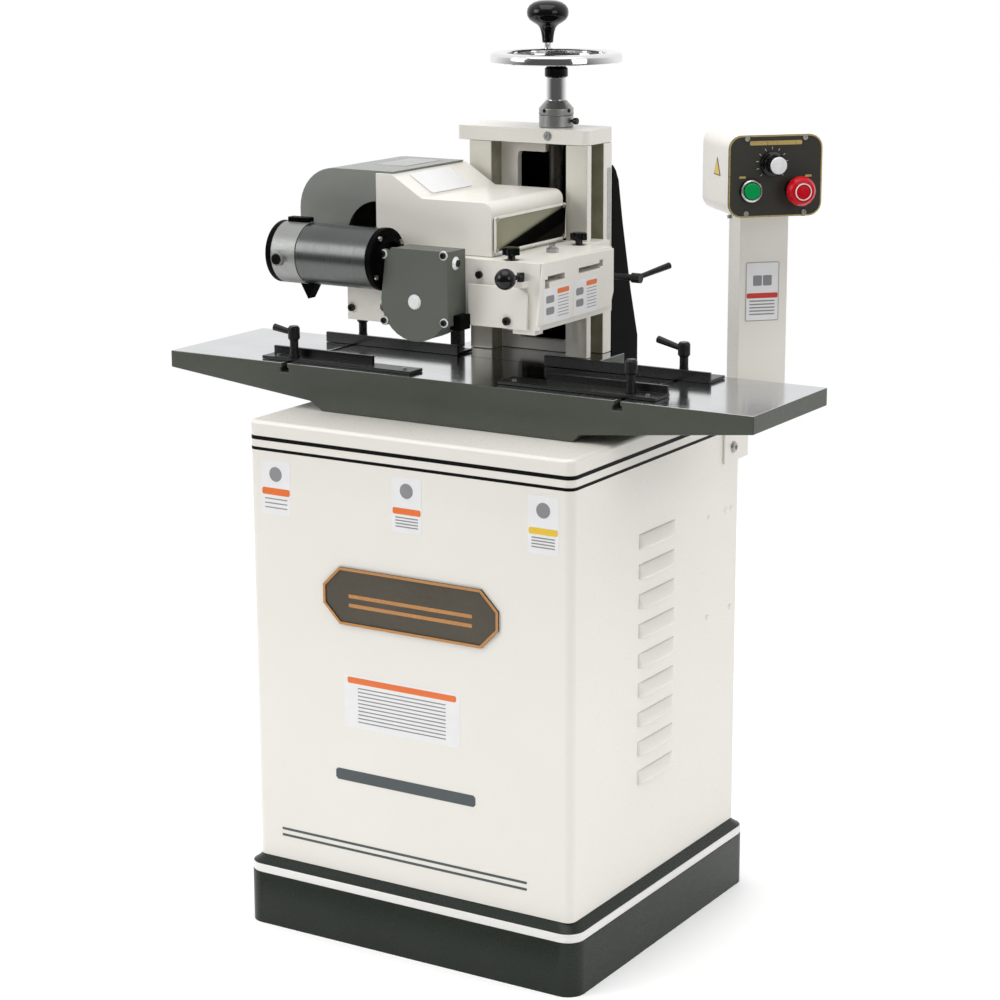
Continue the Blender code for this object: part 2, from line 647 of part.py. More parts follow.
def make_chip_hood():
    left = -0.2530
    bend = 0.056
    top = 1.0312
    low = HEAD_TOP + GAP
    outline = [(-0.1290, low), (left, low)] + arc((left + bend, top - bend), bend, 180, 90, 10)
    outline += [(-0.1025, top), (-0.1025, 1.0290), (-0.1290, 1.0290)]
    hood = prism("chip_hood", outline, "y", -0.0985, 0.0750, (DARK_GREY, 0.4, 0.2))
    inner = [(-0.11, 0.90), (-0.152, 0.90), (-0.152, low + 0.002), (left + 0.002, low + 0.002)]
    inner += arc((left + bend, top - bend), bend - 0.0021, 180, 90, 10)
    inner += [(-0.11, top - 0.0021)]
    cut(hood, prism("chip_hollow", inner, "y", -0.0965, 0.0730))
    return cut(hood, rod("port", (-0.127, -0.120, 0.941), (-0.127, -0.090, 0.941), 0.050,
                         steps=40))


def make_side_plate():
    outline = [(-0.1310, 0.8500), (0.0590, 0.8505), (0.0675, 0.8700), (0.0675, 0.9272),
               (-0.1170, 0.9300)]
    plate = prism("side_plate", outline, "x", HEAD_RIGHT + GAP, HEAD_RIGHT + GAP + 0.003,
                  (CREAM, 0.42, 0.0))
    for name, low, high in HOOK_SLOTS:
        cut(plate, block(name, (0.13, *low), (0.145, *high)))
    return plate


def make_front_cover():
    outline = [(0.0300, 0.8430), (0.1188, 0.8430)] + arc((0.1048, 0.8830), 0.014, 0, 90, 6)
    outline += [(0.0300, 0.8970)]
    return prism("front_cover", outline, "y", -0.1255, HEAD_FRONT - GAP, (CREAM, 0.42, 0.0))


def make_bearings():
    for name, low, high in (("front_bearing", -0.116, -0.102), ("rear_bearing", 0.054, 0.067)):
        profile = [(0.0098, low), (0.0190, low), (0.0190, high), (0.0098, high)]
        turned(name, profile, (CUTTER_X, 0, CUTTER_Z), "y", (STEEL, 0.3, 1.0))


def make_cutterhead():
    profile = [(0, -0.1165), (0.0095, -0.1165), (0.0095, -0.0935), (CUTTER_RADIUS, -0.0925),
               (CUTTER_RADIUS, 0.0505), (0.0095, 0.0515), (0.0095, 0.1585), (0, 0.1585)]
    head = turned("cutterhead", profile, (CUTTER_X, 0, CUTTER_Z), "y", (STEEL, 0.35, 1.0))
    for number in range(3):
        knife = block("knife_%d" % number, (-0.0015, -0.0920, 0.020), (0.0015, 0.0500, 0.032))
        knife.data.transform(Matrix.Rotation(math.radians(30 + 120 * number), 4, "Y"))
        knife.data.transform(Matrix.Translation((CUTTER_X, 0, CUTTER_Z)))
        weld(head, knife)
    return move_origin(head, (CUTTER_X, 0, CUTTER_Z))


def make_spindle_pulley():
    profile = [(0.0098, 0.137), (PULLEY_RADIUS, 0.137), (PULLEY_RADIUS, 0.157), (0.0098, 0.157)]
    pulley = turned("spindle_pulley", profile, (CUTTER_X, 0, CUTTER_Z), "y", (STEEL, 0.4, 0.9))
    return move_origin(pulley, (CUTTER_X, 0.147, CUTTER_Z))


def make_rollers():
    for name, x in zip(("infeed_roller", "outfeed_roller"), ROLLER_X):
        profile = [(0, -0.1170), (0.0060, -0.1170), (0.0060, -0.0935), (ROLLER_RADIUS, -0.0925),
                   (ROLLER_RADIUS, 0.0505), (0.0060, 0.0515), (0.0060, 0.0665), (0, 0.0665)]
        roller = turned(name, profile, (x, 0, ROLLER_Z), "y", (STEEL, 0.5, 0.9))
        move_origin(roller, (x, 0, ROLLER_Z))


# ---------------------------------------------------------------- feed drive

def gear_outline(inset):
    """The gearbox seen from the front: round below, square at the top right."""
    radius = GEAR_RADIUS - inset
    points = arc((GEAR_X, GEAR_Z), radius, 178, 322, 12)
    points += [(0.0242 - inset, 0.8450), (0.0242 - inset, 0.9420 - inset),
               (-0.0619 + inset, 0.9420 - inset), (-0.0715 + inset, 0.9280)]
    return points


def make_gearbox():
    look = (DARK_GREY, 0.5, 0.1)
    body = prism("gearbox_body", gear_outline(0.0008), "y", -0.1585, HEAD_FRONT - GAP, look)
    boss = rod("motor_boss", (-0.0809, FEED_Y, FEED_Z), (-0.060, FEED_Y, FEED_Z), 0.0140)
    lug = block("gearbox_lug", (0.0180, -0.150, 0.8390), (0.0340, -0.1262, 0.8580))
    weld(body, boss, lug)
    cut(body, prism("gearbox_hollow", gear_outline(0.0050), "y", -0.170, -0.1260))
    cut(body, rod("worm_hole", (-0.10, FEED_Y, FEED_Z), (-0.05, FEED_Y, FEED_Z), 0.0058))
    cover = prism("gearbox_cover", gear_outline(0.0), "y", -0.1650, -0.1589, look)
    for number, z in enumerate((0.9330, 0.8460)):
        weld(cover, rod("cover_ear_%d" % number, (-0.0740, -0.1650, z), (-0.0740, -0.1589, z),
                        0.0065, steps=16))
    cut(cover, rod("output_hole", (GEAR_X, -0.18, GEAR_Z), (GEAR_X, -0.15, GEAR_Z), 0.0078,
                   steps=24))


def make_feed_gears():
    profile = [(0, -0.1675), (0.0075, -0.1675), (0.0075, -0.1480), (0.0370, -0.1480),
               (0.0370, -0.1390), (0.0075, -0.1390), (0.0075, -0.1270), (0, -0.1270)]
    wheel = turned("worm_wheel", profile, (GEAR_X, 0, GEAR_Z), "y", ((0.55, 0.4, 0.18), 0.4, 0.9))
    move_origin(wheel, (GEAR_X, FEED_Y, GEAR_Z))
    profile = [(0, -0.0890), (0.0052, -0.0890), (0.0052, -0.0560), (0.0105, -0.0560),
               (0.0105, 0.0000), (0.0052, 0.0000), (0.0052, 0.0140), (0, 0.0140)]
    worm = turned("feed_worm", profile, (0, FEED_Y, FEED_Z), "x", (STEEL, 0.35, 1.0), 20)
    move_origin(worm, (-0.030, FEED_Y, FEED_Z))


def make_feed_motor():
    centre = (0, FEED_Y, FEED_Z)
    flange_profile = [(0.0056, -0.0905), (0.0414, -0.0905), (0.0414, -0.0815),
                      (0.0056, -0.0815)]
    turned("motor_flange", flange_profile, centre, "x", (BLACK, 0.4, 0.2))
    turned("feed_motor_barrel", [(0, -0.2020), (0.0405, -0.2020), (0.0405, -0.0909),
                                 (0.0, -0.0909)], centre, "x", (STEEL, 0.35, 1.0))
    end = turned("feed_motor_end", [(0, -0.2500), (0.0330, -0.2500), (0.0390, -0.2470),
                                    (FEED_RADIUS, -0.2400), (FEED_RADIUS, -0.2024),
                                    (0, -0.2024)], centre, "x", ((0.7, 0.71, 0.72), 0.4, 1.0))
    weld(end, rod("brush_cap", (-0.2280, FEED_Y - 0.035, 0.9180),
                  (-0.2280, FEED_Y - 0.0465, 0.9180), 0.0095))


# ---------------------------------------------------------------- hand controls on the head

def make_lock_lever():
    start = Vector((0.1004, 0.110, 0.8825))
    lever = rod("lock_lever", start, start + Vector((0.045, 0, 0)), 0.0045,
                look=(BLACK, 0.35, 0.3))
    hub = Vector((0.1500, 0.110, 0.8825))
    weld(lever, rod("lock_hub", hub - Vector((0.0065, 0, 0)), hub + Vector((0.0065, 0, 0)),
                    0.0068),
         rod("lock_arm", hub, hub + Vector((0.022, 0.052, 0.012)), 0.0034, far_radius=0.0046,
             steps=14))
    return move_origin(lever, start)


def make_feed_lever():
    pivot = Vector((0.1115, -0.1215, 0.9120))
    end = Vector((0.1050, -0.1550, 0.9120))
    lever = turned("feed_lever", [(0, 0.9065), (0.0050, 0.9065), (0.0050, 0.9175), (0, 0.9175)],
                   (pivot.x, pivot.y - 0.0065, 0), "z", (BLACK, 0.2, 0.0), 16)
    weld(lever, rod("lever_rod", pivot - Vector((0, 0.0065, 0)), end, 0.0032, steps=12),
         ball("lever_ball", end, 0.0138))
    return move_origin(lever, (pivot.x, pivot.y - 0.0065, 0.9120))


def make_star_knobs():
    low = HEAD_TOP + GAP
    for number, (x, y) in enumerate(((0.0840, -0.1050), (0.0880, 0.0620))):
        name = "star_knob_%d" % (number + 1)
        knob = turned(name, [(0, low), (0.0050, low), (0.0050, low + 0.005), (0.0090, low + 0.006),
                             (0.0090, low + 0.016), (0, low + 0.017)], (x, y, 0), "z",
                      (BLACK, 0.4, 0.0), 16)
        for point in range(5):
            angle = math.radians(72 * point)
            lobe = Vector((x + 0.0085 * math.cos(angle), y + 0.0085 * math.sin(angle), 0))
            weld(knob, rod("%s_lobe_%d" % (name, point), lobe + Vector((0, 0, low + 0.0065)),
                           lobe + Vector((0, 0, low + 0.0155)), 0.0036, steps=10))
        move_origin(knob, (x, y, low))


def make_stand():
    make_plinth()
    make_cabinet()
    make_cabinet_top()
    make_rear_panel()
    make_table()
    make_column()
    make_column_cap()
    make_rear_cover()
    make_stop_post()
    make_main_motor()
    make_motor_shelf()
    make_motor_pulley()
    make_belt()


def make_lift():
    make_screw_bearing()
    make_thumbscrew()
    make_lead_screw()
    make_dial_collar()
    make_handwheel()
    make_crank_knob()


def make_pedestal():
    make_control_post()
    make_post_bracket()
    make_control_box()
    make_control_panel()
    make_controls()


def make_head():
    make_head_casting()
    make_carriage()
    make_lift_nut()
    make_hood()
    make_window_pane()
    make_window_frame()
    make_chip_hood()
    make_side_plate()
    make_front_cover()
    make_bearings()
    make_cutterhead()
    make_spindle_pulley()
    make_rollers()
    make_gearbox()
    make_feed_gears()
    make_feed_motor()
    make_lock_lever()
    make_feed_lever()
    make_star_knobs()


clear_scene()
make_stand()
make_lift()
make_pedestal()
for rail_side, rail_size in RAILS.items():
    make_rail(rail_side, rail_size)
    make_lever(rail_side, rail_size)
make_head()
for piece in bpy.context.scene.objects:
    if piece.type == "MESH" and not piece.hide_render:
        piece.data.shade_smooth()
        piece.data.set_sharp_from_angle(angle=math.radians(35))
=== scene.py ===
import math

import bmesh
import bpy
from mathutils import Matrix, Vector


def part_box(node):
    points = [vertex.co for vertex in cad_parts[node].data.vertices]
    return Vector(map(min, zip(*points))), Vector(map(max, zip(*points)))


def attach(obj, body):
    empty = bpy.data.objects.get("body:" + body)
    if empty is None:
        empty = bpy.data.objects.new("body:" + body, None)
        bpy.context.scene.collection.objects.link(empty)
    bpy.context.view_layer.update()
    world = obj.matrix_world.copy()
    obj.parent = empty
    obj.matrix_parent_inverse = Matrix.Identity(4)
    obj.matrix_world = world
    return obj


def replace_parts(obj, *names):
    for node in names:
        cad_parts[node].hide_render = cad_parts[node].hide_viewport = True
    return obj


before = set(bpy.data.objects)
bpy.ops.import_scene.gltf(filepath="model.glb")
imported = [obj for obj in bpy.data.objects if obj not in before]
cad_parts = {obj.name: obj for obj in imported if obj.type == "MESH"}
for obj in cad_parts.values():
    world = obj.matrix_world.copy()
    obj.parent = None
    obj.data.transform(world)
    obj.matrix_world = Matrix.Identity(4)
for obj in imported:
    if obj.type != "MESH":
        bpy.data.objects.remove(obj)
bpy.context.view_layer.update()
scene = bpy.context.scene
scene.view_settings.view_transform = "Standard"
scene.view_settings.look = "None"


# Studio: a pale floor under a bright backdrop, two soft boxes and a soft top light.
floor_mesh = bmesh.new()
bmesh.ops.create_grid(floor_mesh, x_segments=1, y_segments=1, size=2.4)
floor_data = bpy.data.meshes.new("studio_floor")
floor_mesh.to_mesh(floor_data)
floor_mesh.free()
studio_floor = bpy.data.objects.new("studio_floor", floor_data)
scene.collection.objects.link(studio_floor)
floor_finish = bpy.data.materials.new("pale floor")
floor_finish.use_nodes = True
floor_shader = floor_finish.node_tree.nodes["Principled BSDF"]
floor_shader.inputs["Base Color"].default_value = (0.93, 0.93, 0.93, 1.0)
floor_shader.inputs["Roughness"].default_value = 0.6
floor_shader.inputs["Emission Color"].default_value = (1.0, 1.0, 1.0, 1.0)
floor_shader.inputs["Emission Strength"].default_value = 0.22
floor_data.materials.append(floor_finish)

world = bpy.data.worlds.new("studio")
scene.world = world
world.use_nodes = True
sky = world.node_tree.nodes
sky_join = world.node_tree.links.new
facing_sky = sky.new("ShaderNodeTexCoord")
lift = sky.new("ShaderNodeVectorMath")
lift.operation = "DOT_PRODUCT"
lift.inputs[1].default_value = (-0.30, 0.62, 0.62)
sky_join(facing_sky.outputs["Generated"], lift.inputs[0])
studio_shade = sky.new("ShaderNodeMapRange")
studio_shade.inputs["From Min"].default_value = -0.45
studio_shade.inputs["From Max"].default_value = 0.45
studio_shade.inputs["To Min"].default_value = 0.10
studio_shade.inputs["To Max"].default_value = 1.0
sky_join(lift.outputs["Value"], studio_shade.inputs["Value"])
seen = sky.new("ShaderNodeLightPath")
backdrop = sky.new("ShaderNodeMath")
backdrop.operation = "MAXIMUM"
sky_join(studio_shade.outputs["Result"], backdrop.inputs[0])
sky_join(seen.outputs["Is Camera Ray"], backdrop.inputs[1])
sky_join(backdrop.outputs["Value"], sky["Background"].inputs["Strength"])
sky["Background"].inputs["Color"].default_value = (1.0, 1.0, 1.0, 1.0)

for light_name, place, size, power in (
    ("left soft box", (-2.3, -2.6, 2.3), 1.8, 42.0),
    ("right soft box", (3.2, -1.0, 1.9), 1.6, 20.0),
    ("top soft box", (0.2, -0.6, 3.2), 2.2, 34.0),
):
    lamp = bpy.data.lights.new(light_name, "AREA")
    lamp.size = size
    lamp.energy = power
    light = bpy.data.objects.new(light_name, lamp)
    light.location = place
    aim = Vector((0.0, 0.0, 0.7)) - Vector(place)
    light.rotation_euler = aim.to_track_quat("-Z", "Y").to_euler()
    scene.collection.objects.link(light)

turn, tip, roll = math.radians(31.6114), math.radians(13.5135), math.radians(-0.2236)
ahead = Vector((-math.sin(turn) * math.cos(tip), math.cos(turn) * math.cos(tip), -math.sin(tip)))
across = Vector((math.cos(turn), math.sin(turn), 0.0))
above = across.cross(ahead)
camera_right = across * math.cos(roll) + above * math.sin(roll)
camera_up = above * math.cos(roll) - across * math.sin(roll)
camera = bpy.data.objects.new("camera", bpy.data.cameras.new("camera"))
camera.data.sensor_width = 36.0
camera.data.lens = 93.22
camera.data.clip_end = 200.0
facing = Matrix((camera_right, camera_up, -ahead)).transposed().to_4x4()
camera.matrix_world = Matrix.Translation((1.8032, -2.9289, 1.4065)) @ facing
scene.collection.objects.link(camera)
scene.camera = camera


# Plinth: a black pressed-steel tray with a white line and a dark bead under the cabinet.
# Its sides roll inwards at the top to meet the cabinet wall.
def make_surface_group():
    """Uneven colour, a fine grain and light scuffs, for every finish on the machine."""
    group = bpy.data.node_groups.new("workshop surface", "ShaderNodeTree")
    face = group.interface
    for title, kind, value in (
        ("Colour", "NodeSocketColor", (0.5, 0.5, 0.5, 1.0)),
        ("Patch Colour", "NodeSocketColor", (0.4, 0.4, 0.4, 1.0)),
        ("Patch Scale", "NodeSocketFloat", 9.0),
        ("Patch Amount", "NodeSocketFloat", 0.5),
        ("Grain", "NodeSocketVector", (400.0, 400.0, 400.0)),
        ("Smoothest", "NodeSocketFloat", 0.3),
        ("Roughest", "NodeSocketFloat", 0.5),
        ("Scuffs", "NodeSocketFloat", 0.1),
        ("Scuff Colour", "NodeSocketColor", (0.5, 0.5, 0.5, 1.0)),
    ):
        socket = face.new_socket(title, in_out="INPUT", socket_type=kind)
        socket.default_value = value
    for title, kind in (("Colour", "Color"), ("Roughness", "Float"), ("Height", "Float")):
        face.new_socket(title, in_out="OUTPUT", socket_type="NodeSocket" + kind)
    join = group.links.new

    def node(kind, **settings):
        """A node of the group, with some of its inputs set."""
        added = group.nodes.new(kind)
        for title, value in settings.items():
            added.inputs[title.replace("_", " ")].default_value = value
        return added

    given = node("NodeGroupInput")
    out = node("NodeGroupOutput")
    where = node("ShaderNodeTexCoord")
    patch = node("ShaderNodeTexNoise", Detail=5.0)
    join(where.outputs["Object"], patch.inputs["Vector"])
    join(given.outputs["Patch Scale"], patch.inputs["Scale"])
    patch_range = node("ShaderNodeMapRange", From_Min=0.35, From_Max=0.70)
    join(patch.outputs["Fac"], patch_range.inputs["Value"])
    join(given.outputs["Patch Amount"], patch_range.inputs["To Max"])
    tint = node("ShaderNodeMix")
    tint.data_type = "RGBA"
    join(patch_range.outputs["Result"], tint.inputs["Factor"])
    join(given.outputs["Colour"], tint.inputs["A"])
    join(given.outputs["Patch Colour"], tint.inputs["B"])
    stretch = node("ShaderNodeVectorMath")
    stretch.operation = "MULTIPLY"
    join(where.outputs["Object"], stretch.inputs[0])
    join(given.outputs["Grain"], stretch.inputs[1])
    grain = node("ShaderNodeTexNoise", Scale=1.0, Detail=3.0)
    join(stretch.outputs["Vector"], grain.inputs["Vector"])
    gloss = node("ShaderNodeMapRange", From_Min=0.3, From_Max=0.7)
    join(grain.outputs["Fac"], gloss.inputs["Value"])
    join(given.outputs["Smoothest"], gloss.inputs["To Min"])
    join(given.outputs["Roughest"], gloss.inputs["To Max"])
    scuff = node("ShaderNodeTexNoise", Scale=75.0, Detail=8.0, Roughness=0.7)
    join(where.outputs["Object"], scuff.inputs["Vector"])
    worn = node("ShaderNodeMapRange", From_Min=0.62, From_Max=0.74)
    join(scuff.outputs["Fac"], worn.inputs["Value"])
    join(given.outputs["Scuffs"], worn.inputs["To Max"])
    mixed = node("ShaderNodeMix")
    mixed.data_type = "RGBA"
    join(worn.outputs["Result"], mixed.inputs["Factor"])
    join(tint.outputs["Result"], mixed.inputs["A"])
    join(given.outputs["Scuff Colour"], mixed.inputs["B"])
    join(mixed.outputs["Result"], out.inputs["Colour"])
    join(gloss.outputs["Result"], out.inputs["Roughness"])
    join(grain.outputs["Fac"], out.inputs["Height"])
    return group


workshop_surface = make_surface_group()


def finish(name, colour, patch, rough, grain=400.0, metallic=0.0, coat=0.0, bump=0.05,
           scuffs=0.08, scuff_colour=None, patch_scale=9.0, amount=0.5, shine=0.5):
    """A material on the shared surface group; colours are linear, grain is per metre."""
    made = bpy.data.materials.new(name)
    made.use_nodes = True
    nodes = made.node_tree.nodes
    shader = nodes["Principled BSDF"]
    surface = nodes.new("ShaderNodeGroup")
    surface.node_tree = workshop_surface
    for title, value in (
        ("Colour", (*colour, 1.0)),
        ("Patch Colour", (*patch, 1.0)),
        ("Patch Scale", patch_scale),
        ("Patch Amount", amount),
        ("Grain", grain if isinstance(grain, tuple) else (grain,) * 3),
        ("Smoothest", rough[0]),
        ("Roughest", rough[1]),
        ("Scuffs", scuffs),
        ("Scuff Colour", (*(scuff_colour or patch), 1.0)),
    ):
        surface.inputs[title].default_value = value
    relief = nodes.new("ShaderNodeBump")
    relief.inputs["Strength"].default_value = bump
    relief.inputs["Distance"].default_value = 0.001
    join = made.node_tree.links.new
    join(surface.outputs["Colour"], shader.inputs["Base Color"])
    join(surface.outputs["Roughness"], shader.inputs["Roughness"])
    join(surface.outputs["Height"], relief.inputs["Height"])
    join(relief.outputs["Normal"], shader.inputs["Normal"])
    shader.inputs["Metallic"].default_value = metallic
    shader.inputs["Coat Weight"].default_value = coat
    shader.inputs["Specular IOR Level"].default_value = shine
    return made


def put(name, shape, body, slot, *finishes, sharp=35.0, recalculate=True):
    """Make a piece of a bmesh, and let it ride on its body."""
    if recalculate:
        bmesh.ops.recalc_face_normals(shape, faces=shape.faces)
    data = bpy.data.meshes.new(name)
    shape.to_mesh(data)
    shape.free()
    data.shade_smooth()
    data.set_sharp_from_angle(angle=math.radians(sharp))
    for material in finishes:
        data.materials.append(material)
    piece = bpy.data.objects.new(name, data)
    scene.collection.objects.link(piece)
    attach(piece, body)
    return piece


def rounded_plate(width, height, corner, thickness, segments=6):
    """A plate lying on z = 0, centred, with round corners."""
    shape = bmesh.new()
    bmesh.ops.create_grid(shape, x_segments=1, y_segments=1, size=0.5)
    bmesh.ops.scale(shape, vec=(width, height, 1.0), verts=shape.verts)
    bmesh.ops.bevel(shape, geom=shape.verts[:], offset=corner, offset_type="OFFSET",
                    segments=segments, profile=0.5, affect="VERTICES", material=-1)
    grown = bmesh.ops.extrude_face_region(shape, geom=shape.faces[:])
    tops = [part for part in grown["geom"] if isinstance(part, bmesh.types.BMVert)]
    bmesh.ops.translate(shape, vec=(0.0, 0.0, thickness), verts=tops)
    return shape


plinth_black = finish("plinth black enamel", (0.014, 0.019, 0.014), (0.022, 0.028, 0.022),
                      (0.24, 0.38), 500.0, bump=0.05, shine=0.2)
line_white = finish("line white enamel", (0.78, 0.77, 0.74), (0.70, 0.69, 0.66), (0.25, 0.4),
                    500.0, coat=0.2)
plinth_low, plinth_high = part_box("plinth")
plinth_shape = rounded_plate(plinth_high.x - plinth_low.x, plinth_high.y - plinth_low.y,
                             0.0245, 0.0735, 8)
plinth_top = max(plinth_shape.faces, key=lambda face: face.calc_center_median().z)
plinth_rings = ((0.0745, 0.9972, 0), (0.0760, 1.0, 1), (0.0845, 0.9995, 1), (0.0861, 0.9965, 1),
                (0.0872, 0.990, 0), (0.0905, 0.975, 0), (0.0950, 0.958, 0), (0.0962, 0.952, 0))
reach = 1.0
for height, share, paint in plinth_rings:
    before = set(plinth_shape.faces)
    grown = bmesh.ops.extrude_face_region(plinth_shape, geom=[plinth_top])
    moved = [part for part in grown["geom"] if isinstance(part, bmesh.types.BMVert)]
    plinth_top = [part for part in grown["geom"] if isinstance(part, bmesh.types.BMFace)][0]
    for point in moved:
        point.co = (point.co.x * share / reach, point.co.y * share / reach, height)
    for face in set(plinth_shape.faces) - before:
        face.material_index = paint
    reach = share
under = [face for face in plinth_shape.faces if face.calc_area() > 0.15 and face.normal.z < 0.9
         and face.calc_center_median().z > 0.01]
bmesh.ops.delete(plinth_shape, geom=under, context="FACES_ONLY")
plinth = put("plinth_tray", plinth_shape, "stand", "black_paint", plinth_black, line_white)
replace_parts(plinth, "plinth")


# Cabinet: folded and welded sheet steel in cream enamel, with a lid of the same sheet.
# Two dark lines run round it under the lid.
cream = finish("cream enamel", (0.79, 0.765, 0.71), (0.75, 0.725, 0.665), (0.26, 0.40), 450.0,
               coat=0.25, bump=0.06, patch_scale=4.0)
line_black = finish("line black enamel", (0.004, 0.005, 0.004), (0.008, 0.009, 0.008),
                    (0.3, 0.45), shine=0.06)


def softened(node, width, segments=2, where=None):
    """A merged copy of a CAD node with its hard edges rounded over."""
    shape = bmesh.new()
    shape.from_mesh(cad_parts[node].data)
    bmesh.ops.remove_doubles(shape, verts=shape.verts, dist=0.00002)
    bmesh.ops.dissolve_limit(shape, angle_limit=math.radians(1.0), verts=shape.verts,
                             edges=shape.edges)
    if width > 0:
        hard = [edge for edge in shape.edges if edge.is_manifold
                and edge.calc_face_angle(0.0) > math.radians(38.0)
                and (where is None or where((edge.verts[0].co + edge.verts[1].co) / 2))]
        bmesh.ops.bevel(shape, geom=hard, offset=width, offset_type="OFFSET", segments=segments,
                        profile=0.5, affect="EDGES", clamp_overlap=True, material=-1)
    return shape


def dress(node, width, body, slot, *finishes, choose=None, segments=2, sharp=38.0, where=None):
    """Show a CAD node as a rounded-over copy in a real finish."""
    shape = softened(node, width, segments, where)
    if choose:
        for face in shape.faces:
            face.material_index = choose(face.calc_center_median(), face.normal)
    bmesh.ops.triangulate(shape, faces=[face for face in shape.faces if len(face.verts) > 4])
    piece = put(node + "_finished", shape, body, slot, *finishes, sharp=sharp, recalculate=False)
    even = piece.modifiers.new("even shading", "WEIGHTED_NORMAL")
    even.keep_sharp = True
    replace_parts(piece, node)
    return piece


dress("cabinet_body", 0.0, "stand", "cream_paint", cream)
lid_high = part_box("cabinet_top")[1]
dress("cabinet_top", 0.0050, "stand", "cream_paint", cream, segments=4,
      where=lambda middle: middle.z > lid_high.z - 0.001 and
      (abs(middle.x) > lid_high.x - 0.02 or abs(middle.y) > lid_high.y - 0.02))
dress("rear_panel", 0.0006, "stand", "cream_paint", cream)

body_low, body_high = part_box("cabinet_body")


def wall_line(name, low, high):
    """A painted line round the cabinet's four walls."""
    shape = rounded_plate(body_high.x - body_low.x + 0.0003, body_high.y - body_low.y + 0.0003,
                          0.0121, high - low, 6)
    flats = [face for face in shape.faces if abs(face.normal.z) > 0.9]
    bmesh.ops.delete(shape, geom=flats, context="FACES_ONLY")
    bmesh.ops.solidify(shape, geom=shape.faces[:], thickness=0.0002)
    bmesh.ops.translate(shape, vec=(0.0, 0.0, low), verts=shape.verts)
    return put(name, shape, "stand", "black_paint", line_black)


wall_line("upper_wall_line", 0.6823, 0.6876)
wall_line("lower_wall_line", 0.6683, 0.6725)


# Louvres: nine hoods pressed out of the right wall over its air slots.
def louvre(shape, low_z, middle_y, length):
    """One pressed hood: flush at the top and ends, open along its lower edge."""
    first = len(shape.verts)
    bmesh.ops.create_grid(shape, x_segments=24, y_segments=8, size=0.5)
    shape.verts.ensure_lookup_table()
    for point in shape.verts[first:]:
        along, rise = point.co.x * 2.0, point.co.y + 0.5
        ends = max(0.0, 1.0 - abs(along) ** 5.0) ** 0.5
        swell = ends * math.sin(math.pi * 0.5 * (1.0 - rise)) ** 0.8
        point.co = (body_high.x + 0.0001 + 0.0065 * swell, middle_y + along * length / 2,
                    low_z + 0.0195 * rise)


louvres = bmesh.new()
for number in range(9):
    louvre(louvres, 0.2330 + 0.0405 * number, -0.0105, 0.099)
for face in louvres.faces:
    if face.normal.x < 0:
        face.normal_flip()
louvre_piece = put("pressed_louvres", louvres, "stand", "cream_paint", cream, recalculate=False)
sheet_wall = louvre_piece.modifiers.new("sheet", "SOLIDIFY")
sheet_wall.thickness = 0.0012


# Screws and rivets: zinc-plated and blackened heads, pressed over or with a hex socket.
zinc = finish("zinc plated screws", (0.50, 0.50, 0.49), (0.36, 0.36, 0.36), (0.22, 0.42), 900.0,
              metallic=1.0, bump=0.04, patch_scale=120.0)
black_oxide = finish("black oxide", (0.010, 0.011, 0.010), (0.019, 0.020, 0.017),
                     (0.20, 0.38), 700.0, bump=0.05, scuffs=0.2,
                     scuff_colour=(0.035, 0.035, 0.033), shine=0.3)
SIDES = {
    "front": ((1, 0, 0), (0, 0, 1), (0, -1, 0)),
    "back": ((-1, 0, 0), (0, 0, 1), (0, 1, 0)),
    "right": ((0, 1, 0), (0, 0, 1), (1, 0, 0)),
    "left": ((0, -1, 0), (0, 0, 1), (-1, 0, 0)),
    "top": ((1, 0, 0), (0, 1, 0), (0, 0, 1)),
    "under": ((1, 0, 0), (0, -1, 0), (0, 0, -1)),
    "panel": ((0.70711, 0.70711, 0), (0, 0, 1), (0.70711, -0.70711, 0)),
}


def seat(point, side):
    """Where something drawn flat on z = 0 goes: at a point, against a side."""
    right, up, out = (Vector(row) for row in SIDES[side])
    return Matrix.Translation(Vector(point)) @ Matrix((right, up, out)).transposed().to_4x4()


def head(shape, point, side, radius, height, socket=0.0, washer=0.0):
    """A screw's head or a rivet, with a hex socket when it is asked for."""
    old = set(shape.verts)
    if washer:
        bmesh.ops.create_cone(shape, cap_ends=True, segments=28, radius1=washer, radius2=washer,
                              depth=0.001, matrix=Matrix.Translation((0, 0, 0.0004)))
    ring = set(shape.verts)
    bmesh.ops.create_cone(shape, cap_ends=True, segments=24, radius1=radius,
                          radius2=radius * (0.97 if socket else 0.6), depth=height,
                          matrix=Matrix.Translation((0, 0, height / 2)))
    if socket:
        mine = set(shape.verts) - ring
        cap = [face for face in shape.faces if mine.issuperset(face.verts)
               and face.normal.z > 0.9]
        bmesh.ops.inset_region(shape, faces=cap, thickness=radius - socket, depth=0.0)
        sunk = bmesh.ops.extrude_discrete_faces(shape, faces=cap)["faces"]
        bottoms = list({vert for face in sunk for vert in face.verts})
        bmesh.ops.translate(shape, vec=(0, 0, -height * 0.6), verts=bottoms)
    fresh = [vert for vert in shape.verts if vert not in old]
    bmesh.ops.transform(shape, matrix=seat(point, side), verts=fresh)


def heads(name, body, slot, material, side, radius, height, points, socket=0.0, washer=0.0):
    """One piece made of equal heads, at points on one side."""
    shape = bmesh.new()
    for point in points:
        head(shape, point, side, radius, height, socket, washer)
    return put(name, shape, body, slot, material)


